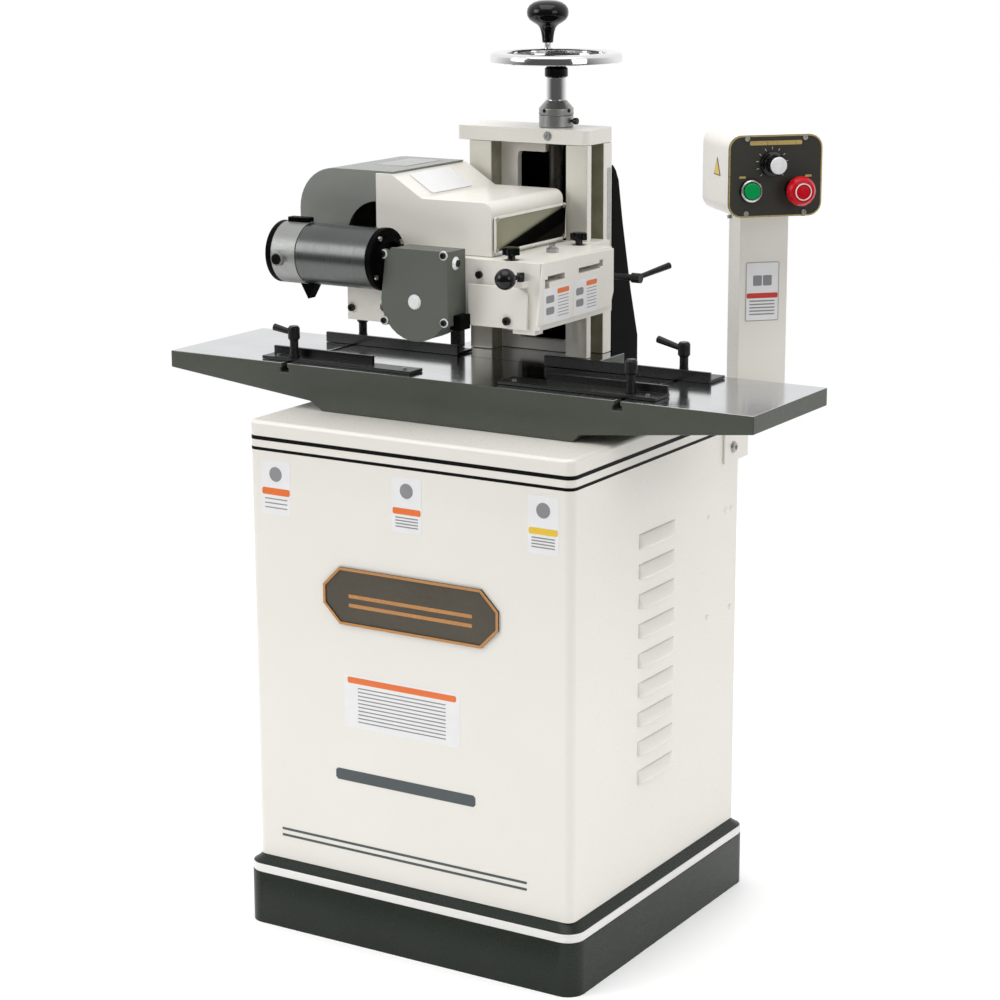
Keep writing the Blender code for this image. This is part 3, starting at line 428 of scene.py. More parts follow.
wall_x = body_high.x
heads("wall_rivets", "stand", "cream_paint", cream, "right", 0.0042, 0.0018,
      [(wall_x, y, z) for y, z in ((0.1375, 0.557), (0.190, 0.557), (0.206, 0.5565),
                                   (0.1376, 0.416), (0.206, 0.415))])
back_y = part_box("rear_panel")[1].y
heads("rear_panel_screws", "stand", "black_steel", black_oxide, "back", 0.0055, 0.0030,
      [(x, back_y, z) for x in (-0.172, 0.0, 0.172) for z in (0.158, 0.39, 0.622)], 0.0028)


# Labels: plain printed stickers, a blank badge and a data sheet, with bars instead of words.
paper = finish("label white", (0.80, 0.80, 0.80), (0.74, 0.74, 0.74), (0.3, 0.42), coat=0.2,
               bump=0.02, patch_scale=60.0)
orange = finish("label orange", (0.78, 0.16, 0.02), (0.70, 0.14, 0.02), (0.3, 0.42), bump=0.02)
yellow = finish("label yellow", (0.78, 0.52, 0.03), (0.72, 0.48, 0.03), (0.3, 0.42), bump=0.02)
ink = finish("label grey ink", (0.22, 0.22, 0.23), (0.30, 0.30, 0.31), (0.4, 0.5), bump=0.02)
bar_grey = finish("bar grey enamel", (0.05, 0.065, 0.07), (0.07, 0.085, 0.09), (0.3, 0.45))


def fold_in(shape, other):
    """Move everything in one bmesh into another."""
    data = bpy.data.meshes.new("folded in")
    other.to_mesh(data)
    other.free()
    shape.from_mesh(data)
    bpy.data.meshes.remove(data)


def paint_from(shape, first, paint):
    """Give the faces made after the first ones a paint of their own."""
    shape.faces.ensure_lookup_table()
    for face in shape.faces[first:]:
        face.material_index = paint


def place(shape, point, side):
    """Set a whole shape at a point, against a side."""
    bmesh.ops.transform(shape, matrix=seat(point, side), verts=shape.verts)


def bars(shape, left, right, tops, thickness, proud):
    """Flat bars on a label, each from left to right under a height in tops."""
    for top in tops:
        bar = rounded_plate(right - left, thickness, thickness * 0.2, 0.00008, 1)
        bmesh.ops.translate(bar, vec=((left + right) / 2, top - thickness / 2, proud),
                            verts=bar.verts)
        fold_in(shape, bar)


def label(name, point, side, width, height, band, band_at, band_height, rows):
    """A sticker with a coloured band and rows of bars under it."""
    shape = rounded_plate(width, height, 0.003, 0.0003, 4)
    count = len(shape.faces)
    bars(shape, -width * 0.47, width * 0.47, [band_at], band_height, 0.00032)
    paint_from(shape, count, 1)
    count = len(shape.faces)
    bars(shape, -width * 0.38, width * 0.38, rows, height * 0.022, 0.00032)
    paint_from(shape, count, 2)
    place(shape, point, side)
    return put(name, shape, "stand", "cream_paint", paper, band, ink)


front_y = body_low.y
label("left_label", (-0.205, front_y, 0.619), "front", 0.048, 0.074, orange, 0.000, 0.0095,
      (-0.014, -0.020, -0.026))
label("middle_label", (0.003, front_y, 0.621), "front", 0.046, 0.074, orange, -0.004, 0.0085,
      (-0.016, -0.020, -0.024, -0.028))
label("right_label", (0.2075, front_y, 0.621), "front", 0.045, 0.076, yellow, -0.004, 0.0085,
      (-0.016, -0.020, -0.024, -0.028))
picture = bmesh.new()
for spot_x, spot_z in ((-0.205, 0.638), (0.003, 0.640), (0.2075, 0.640)):
    bmesh.ops.create_cone(picture, cap_ends=True, segments=32, radius1=0.010, radius2=0.010,
                          depth=0.0003, matrix=seat((spot_x, front_y - 0.0004, spot_z), "front"))
put("label_discs", picture, "stand", "cream_paint", ink)
label("data_label", (-0.009, front_y, 0.3425), "front", 0.182, 0.074, orange, 0.0335, 0.0085,
      [0.020 - 0.0052 * row for row in range(10)])
trim_bars = bmesh.new()
bars(trim_bars, -0.116, 0.105, [0.2450], 0.0160, 0.0)
bars(trim_bars, -0.208, 0.183, [0.1420, 0.1330], 0.0035, 0.0)
place(trim_bars, (0, front_y - 0.0002, 0), "front")
put("front_trim_bars", trim_bars, "stand", "black_paint", bar_grey)

badge_dark = finish("badge dark bronze", (0.075, 0.065, 0.050), (0.11, 0.095, 0.07), (0.3, 0.5),
                    260.0, metallic=0.6, bump=0.25, scuffs=0.25, scuff_colour=(0.20, 0.16, 0.11))
badge_copper = finish("badge copper", (0.48, 0.24, 0.09), (0.38, 0.19, 0.08), (0.25, 0.4), 300.0,
                      metallic=0.8, bump=0.05)
badge = rounded_plate(0.272, 0.078, 0.026, 0.0032, 1)
rim = [face for face in badge.faces if face.normal.z > 0.9 or face.calc_center_median().z > 0.003]
bmesh.ops.inset_region(badge, faces=rim, thickness=0.004, depth=0.0)
field = max((face for face in badge.faces if face.calc_center_median().z > 0.003),
            key=lambda face: face.calc_area())
for face in badge.faces:
    face.material_index = 1 if face.calc_center_median().z > 0.003 else 0
field.material_index = 0
sunk = bmesh.ops.extrude_discrete_faces(badge, faces=[field])["faces"]
bmesh.ops.translate(badge, vec=(0, 0, -0.0016),
                    verts=list({v for face in sunk for v in face.verts}))
count = len(badge.faces)
bars(badge, -0.096, 0.096, [0.0160, 0.0035, -0.0090], 0.0050, 0.0017)
paint_from(badge, count, 1)
place(badge, (0.0065, front_y, 0.4865), "front")
put("blank_badge", badge, "stand", "black_paint", badge_dark, badge_copper)


# Table: one iron casting, ground on top and enamelled grey below, with two clamp slots.
# A thin dark line crosses its bed in front of the column.
ground_iron = finish("ground iron", (0.60, 0.61, 0.62), (0.47, 0.48, 0.49), (0.07, 0.20),
                     (6.0, 900.0, 900.0), metallic=1.0, bump=0.02, patch_scale=14.0, scuffs=0.10,
                     scuff_colour=(0.40, 0.40, 0.38))
table_grey = finish("table grey enamel", (0.058, 0.066, 0.052), (0.078, 0.086, 0.069),
                    (0.28, 0.46), 220.0, bump=0.22, scuffs=0.15, scuff_colour=(0.09, 0.095, 0.085),
                    shine=0.4)
table_top_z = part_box("table")[1].z
dress("table", 0.0014, "stand", "ground_iron", table_grey, ground_iron,
      choose=lambda middle, normal: 1 if middle.z > table_top_z - 0.0016 and normal.z > 0.6 else 0)
seam = bmesh.new()
bmesh.ops.create_cube(seam, size=1.0)
bmesh.ops.scale(seam, vec=(0.142, 0.0012, 0.0002), verts=seam.verts)
bmesh.ops.translate(seam, vec=(-0.011, 0.030, table_top_z), verts=seam.verts)
put("table_seam", seam, "stand", "black_paint", line_black)


# Guide rails: blackened steel angle, held to the table by a clamp lever in each slot.
for corner in ("front_left", "front_right", "back_left", "back_right"):
    dress(corner + "_rail", 0.0005, corner + "_guide", "black_steel", black_oxide)
    dress(corner + "_lever", 0.0006, corner + "_clamp", "black_steel", black_oxide, sharp=50.0)
    low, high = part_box(corner + "_rail")
    leg_y = low.y + 0.014 if corner.startswith("front") else high.y - 0.014
    heads(corner + "_rail_screws", corner + "_guide", "steel", zinc, "top", 0.0030, 0.0016,
          [(low.x + 0.018, leg_y, table_top_z + 0.0044),
           (high.x - 0.018, leg_y, table_top_z + 0.0044)], 0.0014)


# Column: an iron casting with ground ways in front, a cream cap on top and a black belt guard
# behind it; a steel rule is riveted to its right side.
cast_cream = finish("cream on casting", (0.79, 0.765, 0.71), (0.73, 0.705, 0.645), (0.30, 0.46),
                    170.0, coat=0.15, bump=0.32, patch_scale=6.0)
ground_way = finish("ground way", (0.66, 0.64, 0.57), (0.58, 0.56, 0.49), (0.30, 0.44),
                    (420.0, 420.0, 30.0), metallic=0.25, bump=0.03, patch_scale=20.0)
# Painted shade: a darker copy of the way finish, for the inside faces of the deep side grooves and
# the front recess, which lie in shadow.
shaded_way_paint = finish("painted shade way", (0.34, 0.325, 0.24), (0.20, 0.19, 0.13), (0.26, 0.42),
                   (420.0, 420.0, 25.0), metallic=0.3, bump=0.05, patch_scale=30.0, amount=0.8)
guard_black = finish("guard black enamel", (0.0014, 0.0016, 0.0016), (0.003, 0.0032, 0.003),
                     (0.34, 0.50), 300.0, bump=0.08, shine=0.02)
way_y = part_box("column")[0].y


def way_finish(middle, normal):
    """Ground front faces, and painted shade on the inside faces of the side grooves and the front
    recess.
    """
    if middle.y < way_y + 0.0012:
        return 1
    groove = 0.0605 < middle.x < 0.0825 and 0.1030 < middle.y < 0.1380
    recess = normal.x > 0.9 and -0.0690 < middle.x < -0.0670 and middle.y < 0.1185
    return 2 if groove or recess else 0


dress("column", 0.0010, "stand", "cream_casting", cast_cream, ground_way, shaded_way_paint,
      choose=way_finish)
dress("column_cap", 0.0022, "stand", "cream_paint", cream, segments=3)
dress("rear_cover", 0.0010, "stand", "black_paint", guard_black)
dress("stop_post", 0.0008, "stand", "black_steel", black_oxide)
guard_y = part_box("rear_cover")[1].y
heads("guard_screws", "stand", "black_steel", black_oxide, "back", 0.0042, 0.0022,
      [(x, guard_y - 0.0005, 0.745) for x in (-0.070, 0.055)], 0.0020)
rule_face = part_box("column")[1].x
rule = rounded_plate(0.0100, 0.112, 0.001, 0.0006, 2)
count = len(rule.faces)
for step in range(41):
    length = 0.0065 if step % 10 == 0 else 0.0048 if step % 5 == 0 else 0.0032
    tick = rounded_plate(length, 0.00045, 0.0001, 0.0001, 1)
    bmesh.ops.translate(tick, vec=(0.0045 - length / 2, -0.052 + 0.0026 * step, 0.00062),
                        verts=tick.verts)
    fold_in(rule, tick)
paint_from(rule, count, 1)
place(rule, (rule_face - 0.0001, 0.1520, 0.967), "right")
put("height_rule", rule, "stand", "steel", zinc, ink)


# Handwheel: a chromed rim on a black web and hub, over a dial collar on the lifting screw.
# The crank knob is black moulding, and it spins on its own spindle.
chrome = finish("chrome plate", (0.80, 0.80, 0.81), (0.74, 0.74, 0.76), (0.04, 0.12), 600.0,
                metallic=1.0, bump=0.01, scuffs=0.05, scuff_colour=(0.6, 0.6, 0.6))
turned_steel = finish("turned steel", (0.48, 0.48, 0.47), (0.38, 0.38, 0.37), (0.18, 0.34),
                      (40.0, 40.0, 1500.0), metallic=1.0, bump=0.05, patch_scale=60.0)
knob_black = finish("knob black", (0.003, 0.0035, 0.0035), (0.005, 0.0055, 0.0055), (0.08, 0.16),
                    350.0, bump=0.02, shine=0.3)
satin_grey = finish("satin grey steel", (0.40, 0.41, 0.39), (0.27, 0.28, 0.265), (0.28, 0.44),
                    (40.0, 40.0, 1500.0), metallic=0.8, bump=0.06, patch_scale=60.0)
screw_dark = finish("oiled screw steel", (0.055, 0.05, 0.045), (0.03, 0.028, 0.025), (0.25, 0.42),
                    (60.0, 60.0, 1600.0), metallic=0.9, bump=0.25, patch_scale=60.0)


def lathe(shape, profile, steps=72):
    """Spin a profile of (radius, height) pairs round the z axis."""
    points = [shape.verts.new((radius, 0.0, height)) for radius, height in profile]
    edges = [shape.edges.new(pair) for pair in zip(points, points[1:])]
    bmesh.ops.spin(shape, geom=points + edges, cent=(0, 0, 0), axis=(0, 0, 1), angle=math.tau,
                   steps=steps, use_merge=True)
    bmesh.ops.remove_doubles(shape, verts=shape.verts, dist=0.00001)


screw_low, screw_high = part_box("lead_screw")
axis_x = (screw_low.x + screw_high.x) / 2
axis_y = (screw_low.y + screw_high.y) / 2
wheel_low, wheel_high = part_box("handwheel")
rim_z = 1.1705
rim_out = (wheel_high.x - wheel_low.x) / 2
rim_shape = bmesh.new()
lathe(rim_shape, [(0.0672, 1.1690), (0.0740, 1.1647), (rim_out - 0.0008, 1.1647),
                  (rim_out, 1.1655), (rim_out, 1.1732), (rim_out - 0.0004, 1.1745),
                  (rim_out - 0.0016, 1.1759), (rim_out - 0.0035, 1.1768),
                  (rim_out - 0.0070, 1.1775), (rim_out - 0.0135, 1.1778),
                  (0.0710, 1.1776), (0.0684, 1.1769), (0.0672, 1.1755), (0.0672, 1.1690)], 120)
hub_shape = bmesh.new()
lathe(hub_shape, [(0.0081, 1.1446), (0.0150, 1.1446), (0.0158, 1.1454), (0.0158, 1.1555),
                  (0.0150, 1.1563), (0.0128, 1.1585), (0.0126, 1.1645), (0.0400, 1.1668),
                  (0.0668, 1.1684), (0.0668, 1.1716), (0.0400, 1.1702), (0.0150, 1.1692),
                  (0.0135, 1.1710), (0.0081, 1.1710), (0.0081, 1.1446)], 96)
for shape in (rim_shape, hub_shape):
    bmesh.ops.translate(shape, vec=(axis_x, axis_y, 0.0), verts=shape.verts)
spindle = bmesh.new()
knob_low, knob_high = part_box("crank_knob")
knob_x, knob_y = (knob_low.x + knob_high.x) / 2, (knob_low.y + knob_high.y) / 2
bmesh.ops.create_cone(spindle, cap_ends=True, segments=24, radius1=0.0046, radius2=0.0046,
                      depth=0.030, matrix=Matrix.Translation((knob_x, knob_y, rim_z + 0.013)))
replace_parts(put("wheel_rim", rim_shape, "wheel", "chrome", chrome), "handwheel")
put("wheel_hub", hub_shape, "wheel", "black_steel", knob_black)
put("knob_spindle", spindle, "wheel", "chrome", chrome)
knob_shape = bmesh.new()
lathe(knob_shape, [(0.0050, 0.0004), (0.0068, 0.0), (0.0076, 0.0008), (0.0082, 0.0080),
                   (0.0094, 0.0150), (0.0112, 0.0205), (0.0145, 0.0243), (0.0200, 0.0275),
                   (0.0255, 0.0315), (0.0284, 0.0365), (0.0289, 0.0415), (0.0280, 0.0465),
                   (0.0250, 0.0510), (0.0195, 0.0548), (0.0120, 0.0571), (0.0, 0.0580)], 64)
bmesh.ops.translate(knob_shape, vec=(knob_x, knob_y, knob_low.z), verts=knob_shape.verts)
knob_piece = put("crank_knob_moulding", knob_shape, "crank", "black_plastic", knob_black,
                 sharp=60.0)
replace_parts(knob_piece, "crank_knob")
dress("screw_bearing", 0.0010, "stand", "steel", satin_grey)
dress("dial_collar", 0.0006, "wheel", "chrome", satin_grey, chrome, sharp=50.0,
      choose=lambda middle, normal: 1 if middle.z > 1.1136 else 0)
dress("dial_thumbscrew", 0.0005, "dial_lock", "black_steel", black_oxide)
dress("lead_screw", 0.0, "wheel", "steel", screw_dark, sharp=50.0)
collar_ticks = bmesh.new()
for step in range(60):
    length = 0.0030 if step % 5 == 0 else 0.0018
    mark = Matrix.Translation((0.02345, 0, 0)) @ Matrix.Diagonal((0.0003, 0.0004, length, 1.0))
    bmesh.ops.create_cube(collar_ticks, size=1.0, matrix=Matrix.Translation(
        (axis_x, axis_y, 1.0955)) @ Matrix.Rotation(math.tau * step / 60, 4, "Z") @ mark)
put("collar_ticks", collar_ticks, "wheel", "black_paint", ink)
set_screws = bmesh.new()
for degrees in (-104.0, -13.0, 77.0, 167.0):
    out = Vector((math.cos(math.radians(degrees)), math.sin(math.radians(degrees)), 0.0))
    lean = out.to_track_quat("Z", "Y").to_matrix().to_4x4()
    bmesh.ops.create_cone(set_screws, cap_ends=True, segments=20, radius1=0.0027,
                          radius2=0.0027, depth=0.0010, matrix=Matrix.Translation(
                              Vector((axis_x, axis_y, 1.1001)) + out * 0.0232) @ lean)
put("collar_set_screws", set_screws, "wheel", "black_steel", knob_black)
heads("cap_pointer", "stand", "steel", zinc, "front", 0.0038, 0.0022,
      [(0.0225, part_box("column_cap")[0].y, 1.0680)], 0.0018, 0.0062)


# Control box: a cream sheet-metal case on a folded post, with a black panel edged in gold.
panel_black = finish("panel black print", (0.034, 0.033, 0.026), (0.042, 0.041, 0.033),
                     (0.28, 0.4), 600.0, bump=0.03, shine=0.3)
gold = finish("panel gold print", (0.60, 0.44, 0.16), (0.52, 0.38, 0.13), (0.25, 0.4), 500.0,
              metallic=0.7, bump=0.02)
green_cap = finish("start green", (0.0, 0.30, 0.07), (0.0, 0.26, 0.06), (0.18, 0.3), 300.0,
                   bump=0.02, shine=0.2)
red_cap = finish("stop red", (0.52, 0.003, 0.012), (0.44, 0.003, 0.010), (0.20, 0.32), 300.0,
                 bump=0.02, shine=0.2)
dress("control_box", 0.0016, "stand", "cream_paint", cream, segments=3)
dress("control_post", 0.0006, "stand", "cream_paint", cream)
dress("post_bracket", 0.0006, "stand", "cream_paint", cream)
dress("control_panel", 0.0006, "stand", "black_paint", panel_black)
dress("start_button", 0.0012, "start", "green_plastic", green_cap, segments=3)
dress("stop_button", 0.0014, "stop", "red_plastic", red_cap, segments=3)
dress("speed_dial", 0.0008, "speed", "black_plastic", knob_black, segments=3)
box_low, box_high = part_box("control_panel")
panel_out = Vector(SIDES["panel"][2])
panel_right = Vector(SIDES["panel"][0])
panel_face = (box_low + box_high) / 2 + panel_out * 0.00155


def on_panel(across, up, proud=0.0):
    """A point measured from the middle of the panel's face."""
    return panel_face + panel_right * across + Vector((0, 0, up)) + panel_out * proud


def outline(width, height, corner, thickness, segments, edge):
    """A plate's border alone, with its middle and its underside taken out."""
    shape = rounded_plate(width, height, corner, thickness, segments)
    flats = [face for face in shape.faces if face.normal.z > 0.9]
    bmesh.ops.inset_region(shape, faces=flats, thickness=edge, depth=0.0)
    middle = max((face for face in shape.faces if face.calc_center_median().z > thickness / 2),
                 key=lambda face: face.calc_area())
    unders = [face for face in shape.faces if face.calc_center_median().z < 0.00001]
    bmesh.ops.delete(shape, geom=[middle] + unders, context="FACES_ONLY")
    return shape


edging = outline(0.1284, 0.1066, 0.0176, 0.00015, 8, 0.0016)
place(edging, on_panel(0, 0), "panel")
put("panel_gold_edge", edging, "stand", "black_paint", gold, recalculate=False)
start_place = (-0.0340, 1.0055 - panel_face.z)
stop_place = (0.0285, 1.0055 - panel_face.z)
dial_place = (-0.005, 1.0403 - panel_face.z)
panel_marks = bmesh.new()
for step in range(11):
    around = Matrix.Rotation(math.radians(225.0 - 27.0 * step), 4, "Z")
    mark = Matrix.Translation((0.0205, 0, 0)) @ Matrix.Diagonal((0.0034, 0.0006, 0.00015, 1.0))
    bmesh.ops.create_cube(panel_marks, size=1.0, matrix=seat(
        on_panel(*dial_place, 0.0001), "panel") @ around @ mark)
put("dial_marks", panel_marks, "stand", "cream_paint", line_white)
panel_bars = bmesh.new()
bars(panel_bars, -0.036, 0.036, [0.0462], 0.0056, 0.0)
bars(panel_bars, -0.050, -0.041, [0.0005], 0.0028, 0.0)
bars(panel_bars, 0.041, 0.050, [0.0005], 0.0028, 0.0)
place(panel_bars, on_panel(0, 0), "panel")
put("panel_print_bars", panel_bars, "stand", "black_paint", gold)
heads("panel_screws", "stand", "steel", zinc, "panel", 0.0035, 0.0018,
      [on_panel(a, b) for a in (-0.040, 0.040) for b in (-0.0485, 0.0495)], 0.0016)
bezels = bmesh.new()
for spot in (start_place, stop_place):
    ring = bmesh.new()
    lathe(ring, [(0.0112, 0.0), (0.0152, 0.0), (0.0156, 0.0010), (0.0150, 0.0032),
                 (0.0140, 0.0040), (0.0112, 0.0040), (0.0112, 0.0)], 48)
    place(ring, on_panel(*spot), "panel")
    fold_in(bezels, ring)
put("button_bezels", bezels, "stand", "black_plastic", knob_black)
collar = bmesh.new()
lathe(collar, [(0.0122, 0.0041), (0.0146, 0.0041), (0.0146, 0.0056), (0.0134, 0.0066),
               (0.0122, 0.0064), (0.0122, 0.0041)], 48)
place(collar, on_panel(*start_place), "panel")
put("start_bezel_ring", collar, "stand", "steel", zinc)
cap_shape = bmesh.new()
lathe(cap_shape, [(0.0113, 0.0262), (0.0108, 0.0272), (0.0080, 0.0274), (0.0, 0.0272)], 48)
place(cap_shape, on_panel(*dial_place), "panel")
spun_cap = finish("spun aluminium cap", (0.86, 0.86, 0.86), (0.70, 0.70, 0.70), (0.25, 0.5),
                  900.0, metallic=0.35, bump=0.1, patch_scale=160.0)
put("dial_cap", cap_shape, "speed", "chrome", spun_cap)
post_red = finish("label red", (0.58, 0.045, 0.03), (0.50, 0.04, 0.03), (0.3, 0.42), bump=0.02)
post_place = (0.0050, -0.1622, -0.0584)
post_width, post_height = 0.047, 0.080
label("post_label", on_panel(*post_place), "panel", post_width, post_height, post_red, -0.002,
      0.007, (-0.012, -0.0165, -0.021, -0.0255, -0.030))
label_frame = outline(post_width, post_height, 0.002, 0.0001, 3, 0.0009)
for side in (-1.0, 1.0):
    page = rounded_plate(0.0125, 0.0140, 0.0015, 0.0001, 3)
    bmesh.ops.translate(page, vec=(side * 0.0070, 0.0150, 0.0), verts=page.verts)
    fold_in(label_frame, page)
place(label_frame, on_panel(*post_place) + panel_out * 0.00032, "panel")
put("post_label_frame", label_frame, "stand", "cream_paint", ink, recalculate=False)
ring_mark = bmesh.new()
lathe(ring_mark, [(0.0100, 0.03125), (0.0112, 0.03115), (0.0112, 0.0300), (0.0100, 0.0300),
                  (0.0100, 0.03125)], 48)
place(ring_mark, on_panel(*stop_place), "panel")
put("stop_button_ring", ring_mark, "stop", "cream_paint", paper)
triangle = bmesh.new()
case_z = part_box("control_box")[0].z
side_spot = on_panel(-0.0646, 0.0) - panel_out * 0.048 + Vector((0, 0, 0.006))
onto_side = Matrix.Rotation(-math.pi / 2, 4, "Y")
for number, (size, proud) in enumerate(((0.0160, 0.0002), (0.0130, 0.0004))):
    count = len(triangle.faces)
    facet = seat(side_spot - panel_right * proud, "panel") @ onto_side
    bmesh.ops.create_cone(triangle, cap_ends=True, segments=3, radius1=size, radius2=size,
                          depth=0.0003, matrix=facet)
    paint_from(triangle, count, number)
put("blank_warning_triangle", triangle, "stand", "cream_paint", panel_black, yellow)
heads("case_screws", "stand", "steel", zinc, "under", 0.0036, 0.0040,
      [on_panel(a, 0.0) - panel_out * 0.030 + Vector((0, 0, case_z - panel_face.z))
       for a in (-0.052, 0.050)], 0.0016)
heads("bracket_bolts", "stand", "steel", zinc, "right", 0.0060, 0.0040,
      [(0.2529, 0.2030, 0.6440), (0.2529, 0.2030, 0.6900)], 0.0030, 0.0085)


# Head: an iron casting on the column's ways, with sheet covers screwed on and cream all over.
dress("head_casting", 0.0014, "head", "cream_casting", cast_cream)
dress("carriage", 0.0014, "head", "cream_casting", cast_cream)
dress("side_plate", 0.0006, "head", "cream_paint", cream)
dress("front_cover", 0.0010, "head", "cream_paint", cream)
cover_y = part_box("front_cover")[0].y
heads("front_cover_screws", "head", "black_steel", black_oxide, "front", 0.0055, 0.0040,
      [(0.0895, cover_y, 0.8530)], 0.0028)
casting_low, casting_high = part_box("head_casting")
heads("casting_screws", "head", "black_steel", black_oxide, "front", 0.0050, 0.0035,
      [(-0.1560, casting_low.y + 0.0142, 0.8500), (0.0450, casting_low.y + 0.0142, 0.9090)],
      0.0025)
plate_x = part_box("side_plate")[1].x
for name, label_y, width in (("side_label_front", -0.0830, 0.068),
                             ("side_label_back", -0.0080, 0.064)):
    sticker = rounded_plate(width, 0.046, 0.002, 0.0003, 4)
    count = len(sticker.faces)
    bars(sticker, width * 0.02, width * 0.46, [0.0195], 0.0065, 0.00032)
    paint_from(sticker, count, 1)
    count = len(sticker.faces)
    bars(sticker, width * 0.04, width * 0.44, [0.0100 - 0.0042 * row for row in range(7)],
         0.0010, 0.00032)
    bars(sticker, -width * 0.40, -width * 0.10, [0.0130, -0.0020], 0.0095, 0.00032)
    paint_from(sticker, count, 2)
    place(sticker, (plate_x, label_y, 0.8735), "right")
    put(name, sticker, "head", "cream_paint", paper, orange, ink)


# Hood: folded cream sheet over the cutter, with a tinted window on its right side.
tinted = finish("olive tinted sheet", (0.42, 0.41, 0.27), (0.34, 0.33, 0.22), (0.04, 0.12),
                bump=0.0, scuffs=0.1, scuff_colour=(0.5, 0.5, 0.5))
tinted_shader = tinted.node_tree.nodes["Principled BSDF"]
tinted_shader.inputs["Transmission Weight"].default_value = 0.35
tinted_shader.inputs["IOR"].default_value = 1.35
dress("hood", 0.0010, "head", "cream_paint", cream)
dress("window_frame", 0.0005, "head", "cream_paint", cream)
dress("window_pane", 0.0004, "head", "clear_plastic", tinted)
pane_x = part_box("window_frame")[1].x
heads("window_screws", "head", "steel", zinc, "right", 0.0028, 0.0014,
      [(pane_x, y, z) for y in (-0.0950, 0.0740) for z in (0.9375, 0.9780)], 0.0013)


# Chip hood: grey sheet bent over the cutter's left side, with a round outlet to the front.
sheet_grey = finish("chip hood grey", (0.215, 0.225, 0.205), (0.255, 0.265, 0.24), (0.3, 0.46),
                    350.0, metallic=0.2, coat=0.15, bump=0.08, scuffs=0.15,
                    scuff_colour=(0.25, 0.25, 0.24))
dress("chip_hood", 0.0008, "head", "grey_paint", sheet_grey)
slope_label = rounded_plate(0.044, 0.100, 0.004, 0.0004, 4)
bmesh.ops.rotate(slope_label, cent=(0, 0, 0), matrix=Matrix.Rotation(math.radians(31.7), 3, "Y"),
                 verts=slope_label.verts)
bmesh.ops.translate(slope_label, vec=(-0.0790, -0.018, 1.0142), verts=slope_label.verts)
put("slope_label", slope_label, "head", "cream_paint", paper)
hood_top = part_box("chip_hood")[1].z
light_plate = rounded_plate(0.050, 0.088, 0.002, 0.0004, 2)
place(light_plate, (-0.150, 0.010, hood_top), "top")
put("chip_hood_plate", light_plate, "head", "steel", zinc)


# Feed gearbox: a grey casting with a flat cover and a black lug, driven by the motor's worm.
hammer_grey = finish("gearbox grey", (0.090, 0.100, 0.084), (0.112, 0.122, 0.103),
                     (0.34, 0.50), 260.0, bump=0.22, scuffs=0.15, scuff_colour=(0.14, 0.15, 0.135),
                     shine=0.4)
gear_lug_x = 0.0240
dress("gearbox_body", 0.0010, "head", "grey_paint", hammer_grey, guard_black,
      choose=lambda middle, normal: 1 if middle.x > gear_lug_x else 0)
dress("gearbox_cover", 0.0010, "head", "grey_paint", hammer_grey)
dress("worm_wheel", 0.0006, "gear", "steel", spun_cap)
dress("feed_worm", 0.0, "worm", "steel", turned_steel)
gear_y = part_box("gearbox_cover")[0].y
gear_screws = ((-0.0740, 0.9330), (0.0186, 0.9370), (-0.0740, 0.8460), (0.0186, 0.8500))
heads("gearbox_screws", "head", "black_steel", black_oxide, "front", 0.0042, 0.0030,
      [(x, gear_y, z) for x, z in gear_screws], 0.0020)
gear_washers = bmesh.new()
for x, z in gear_screws:
    bmesh.ops.create_cone(gear_washers, cap_ends=True, segments=28, radius1=0.0062,
                          radius2=0.0058, depth=0.0012,
                          matrix=seat((x, gear_y - 0.0003, z), "front"))
put("gearbox_washers", gear_washers, "head", "steel", spun_cap)
shaft_low, shaft_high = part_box("worm_wheel")
shaft_ring = bmesh.new()
lathe(shaft_ring, [(0.0072, 0.0), (0.0098, 0.0), (0.0092, 0.0012), (0.0074, 0.0012),
                   (0.0072, 0.0)], 48)
place(shaft_ring, ((shaft_low.x + shaft_high.x) / 2, gear_y - 0.0001,
                   (shaft_low.z + shaft_high.z) / 2), "front")
put("output_shaft_ring", shaft_ring, "head", "steel", spun_cap)
heads("gearbox_plug", "head", "steel", spun_cap, "right", 0.0088, 0.0030,
      [(0.0236, -0.1436, 0.9250)])
heads("gearbox_plug_socket", "head", "black_steel", black_oxide, "right", 0.0048, 0.0012,
      [(0.0266, -0.1436, 0.9250)], 0.0026)


# Feed motor: a satin steel barrel between an aluminium end bell and a black flange.
barrel = finish("satin barrel", (0.115, 0.12, 0.118), (0.085, 0.09, 0.088), (0.26, 0.36),
                (1800.0, 30.0, 30.0), metallic=1.0, bump=0.015, patch_scale=10.0)
light_bell = finish("cast aluminium", (0.30, 0.305, 0.295), (0.24, 0.245, 0.235), (0.36, 0.5),
                    420.0, metallic=0.7, bump=0.15)
dress("feed_motor_barrel", 0.0006, "head", "satin_steel", barrel, sharp=50.0)
dress("feed_motor_end", 0.0006, "head", "light_aluminium", light_bell, sharp=50.0)
dress("motor_flange", 0.0010, "head", "black_paint", guard_black)
bell_low, bell_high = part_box("feed_motor_end")
motor_y, motor_z = -0.1435, 0.9225
flange_x = -0.0816
clamp_shape = rounded_plate(0.034, 0.014, 0.002, 0.006, 3)
place(clamp_shape, (-0.2200, motor_y, bell_high.z - 0.0005), "top")
put("cable_clamp", clamp_shape, "head", "black_paint", guard_black)
foot_shape = bmesh.new()
bmesh.ops.create_cone(foot_shape, cap_ends=True, segments=3, radius1=0.022, radius2=0.022,
                      depth=0.016, matrix=seat((-0.2050, motor_y, 0.8840), "front")
                      @ Matrix.Rotation(math.radians(180.0), 4, "Z"))
put("motor_foot", foot_shape, "head", "black_paint", guard_black)
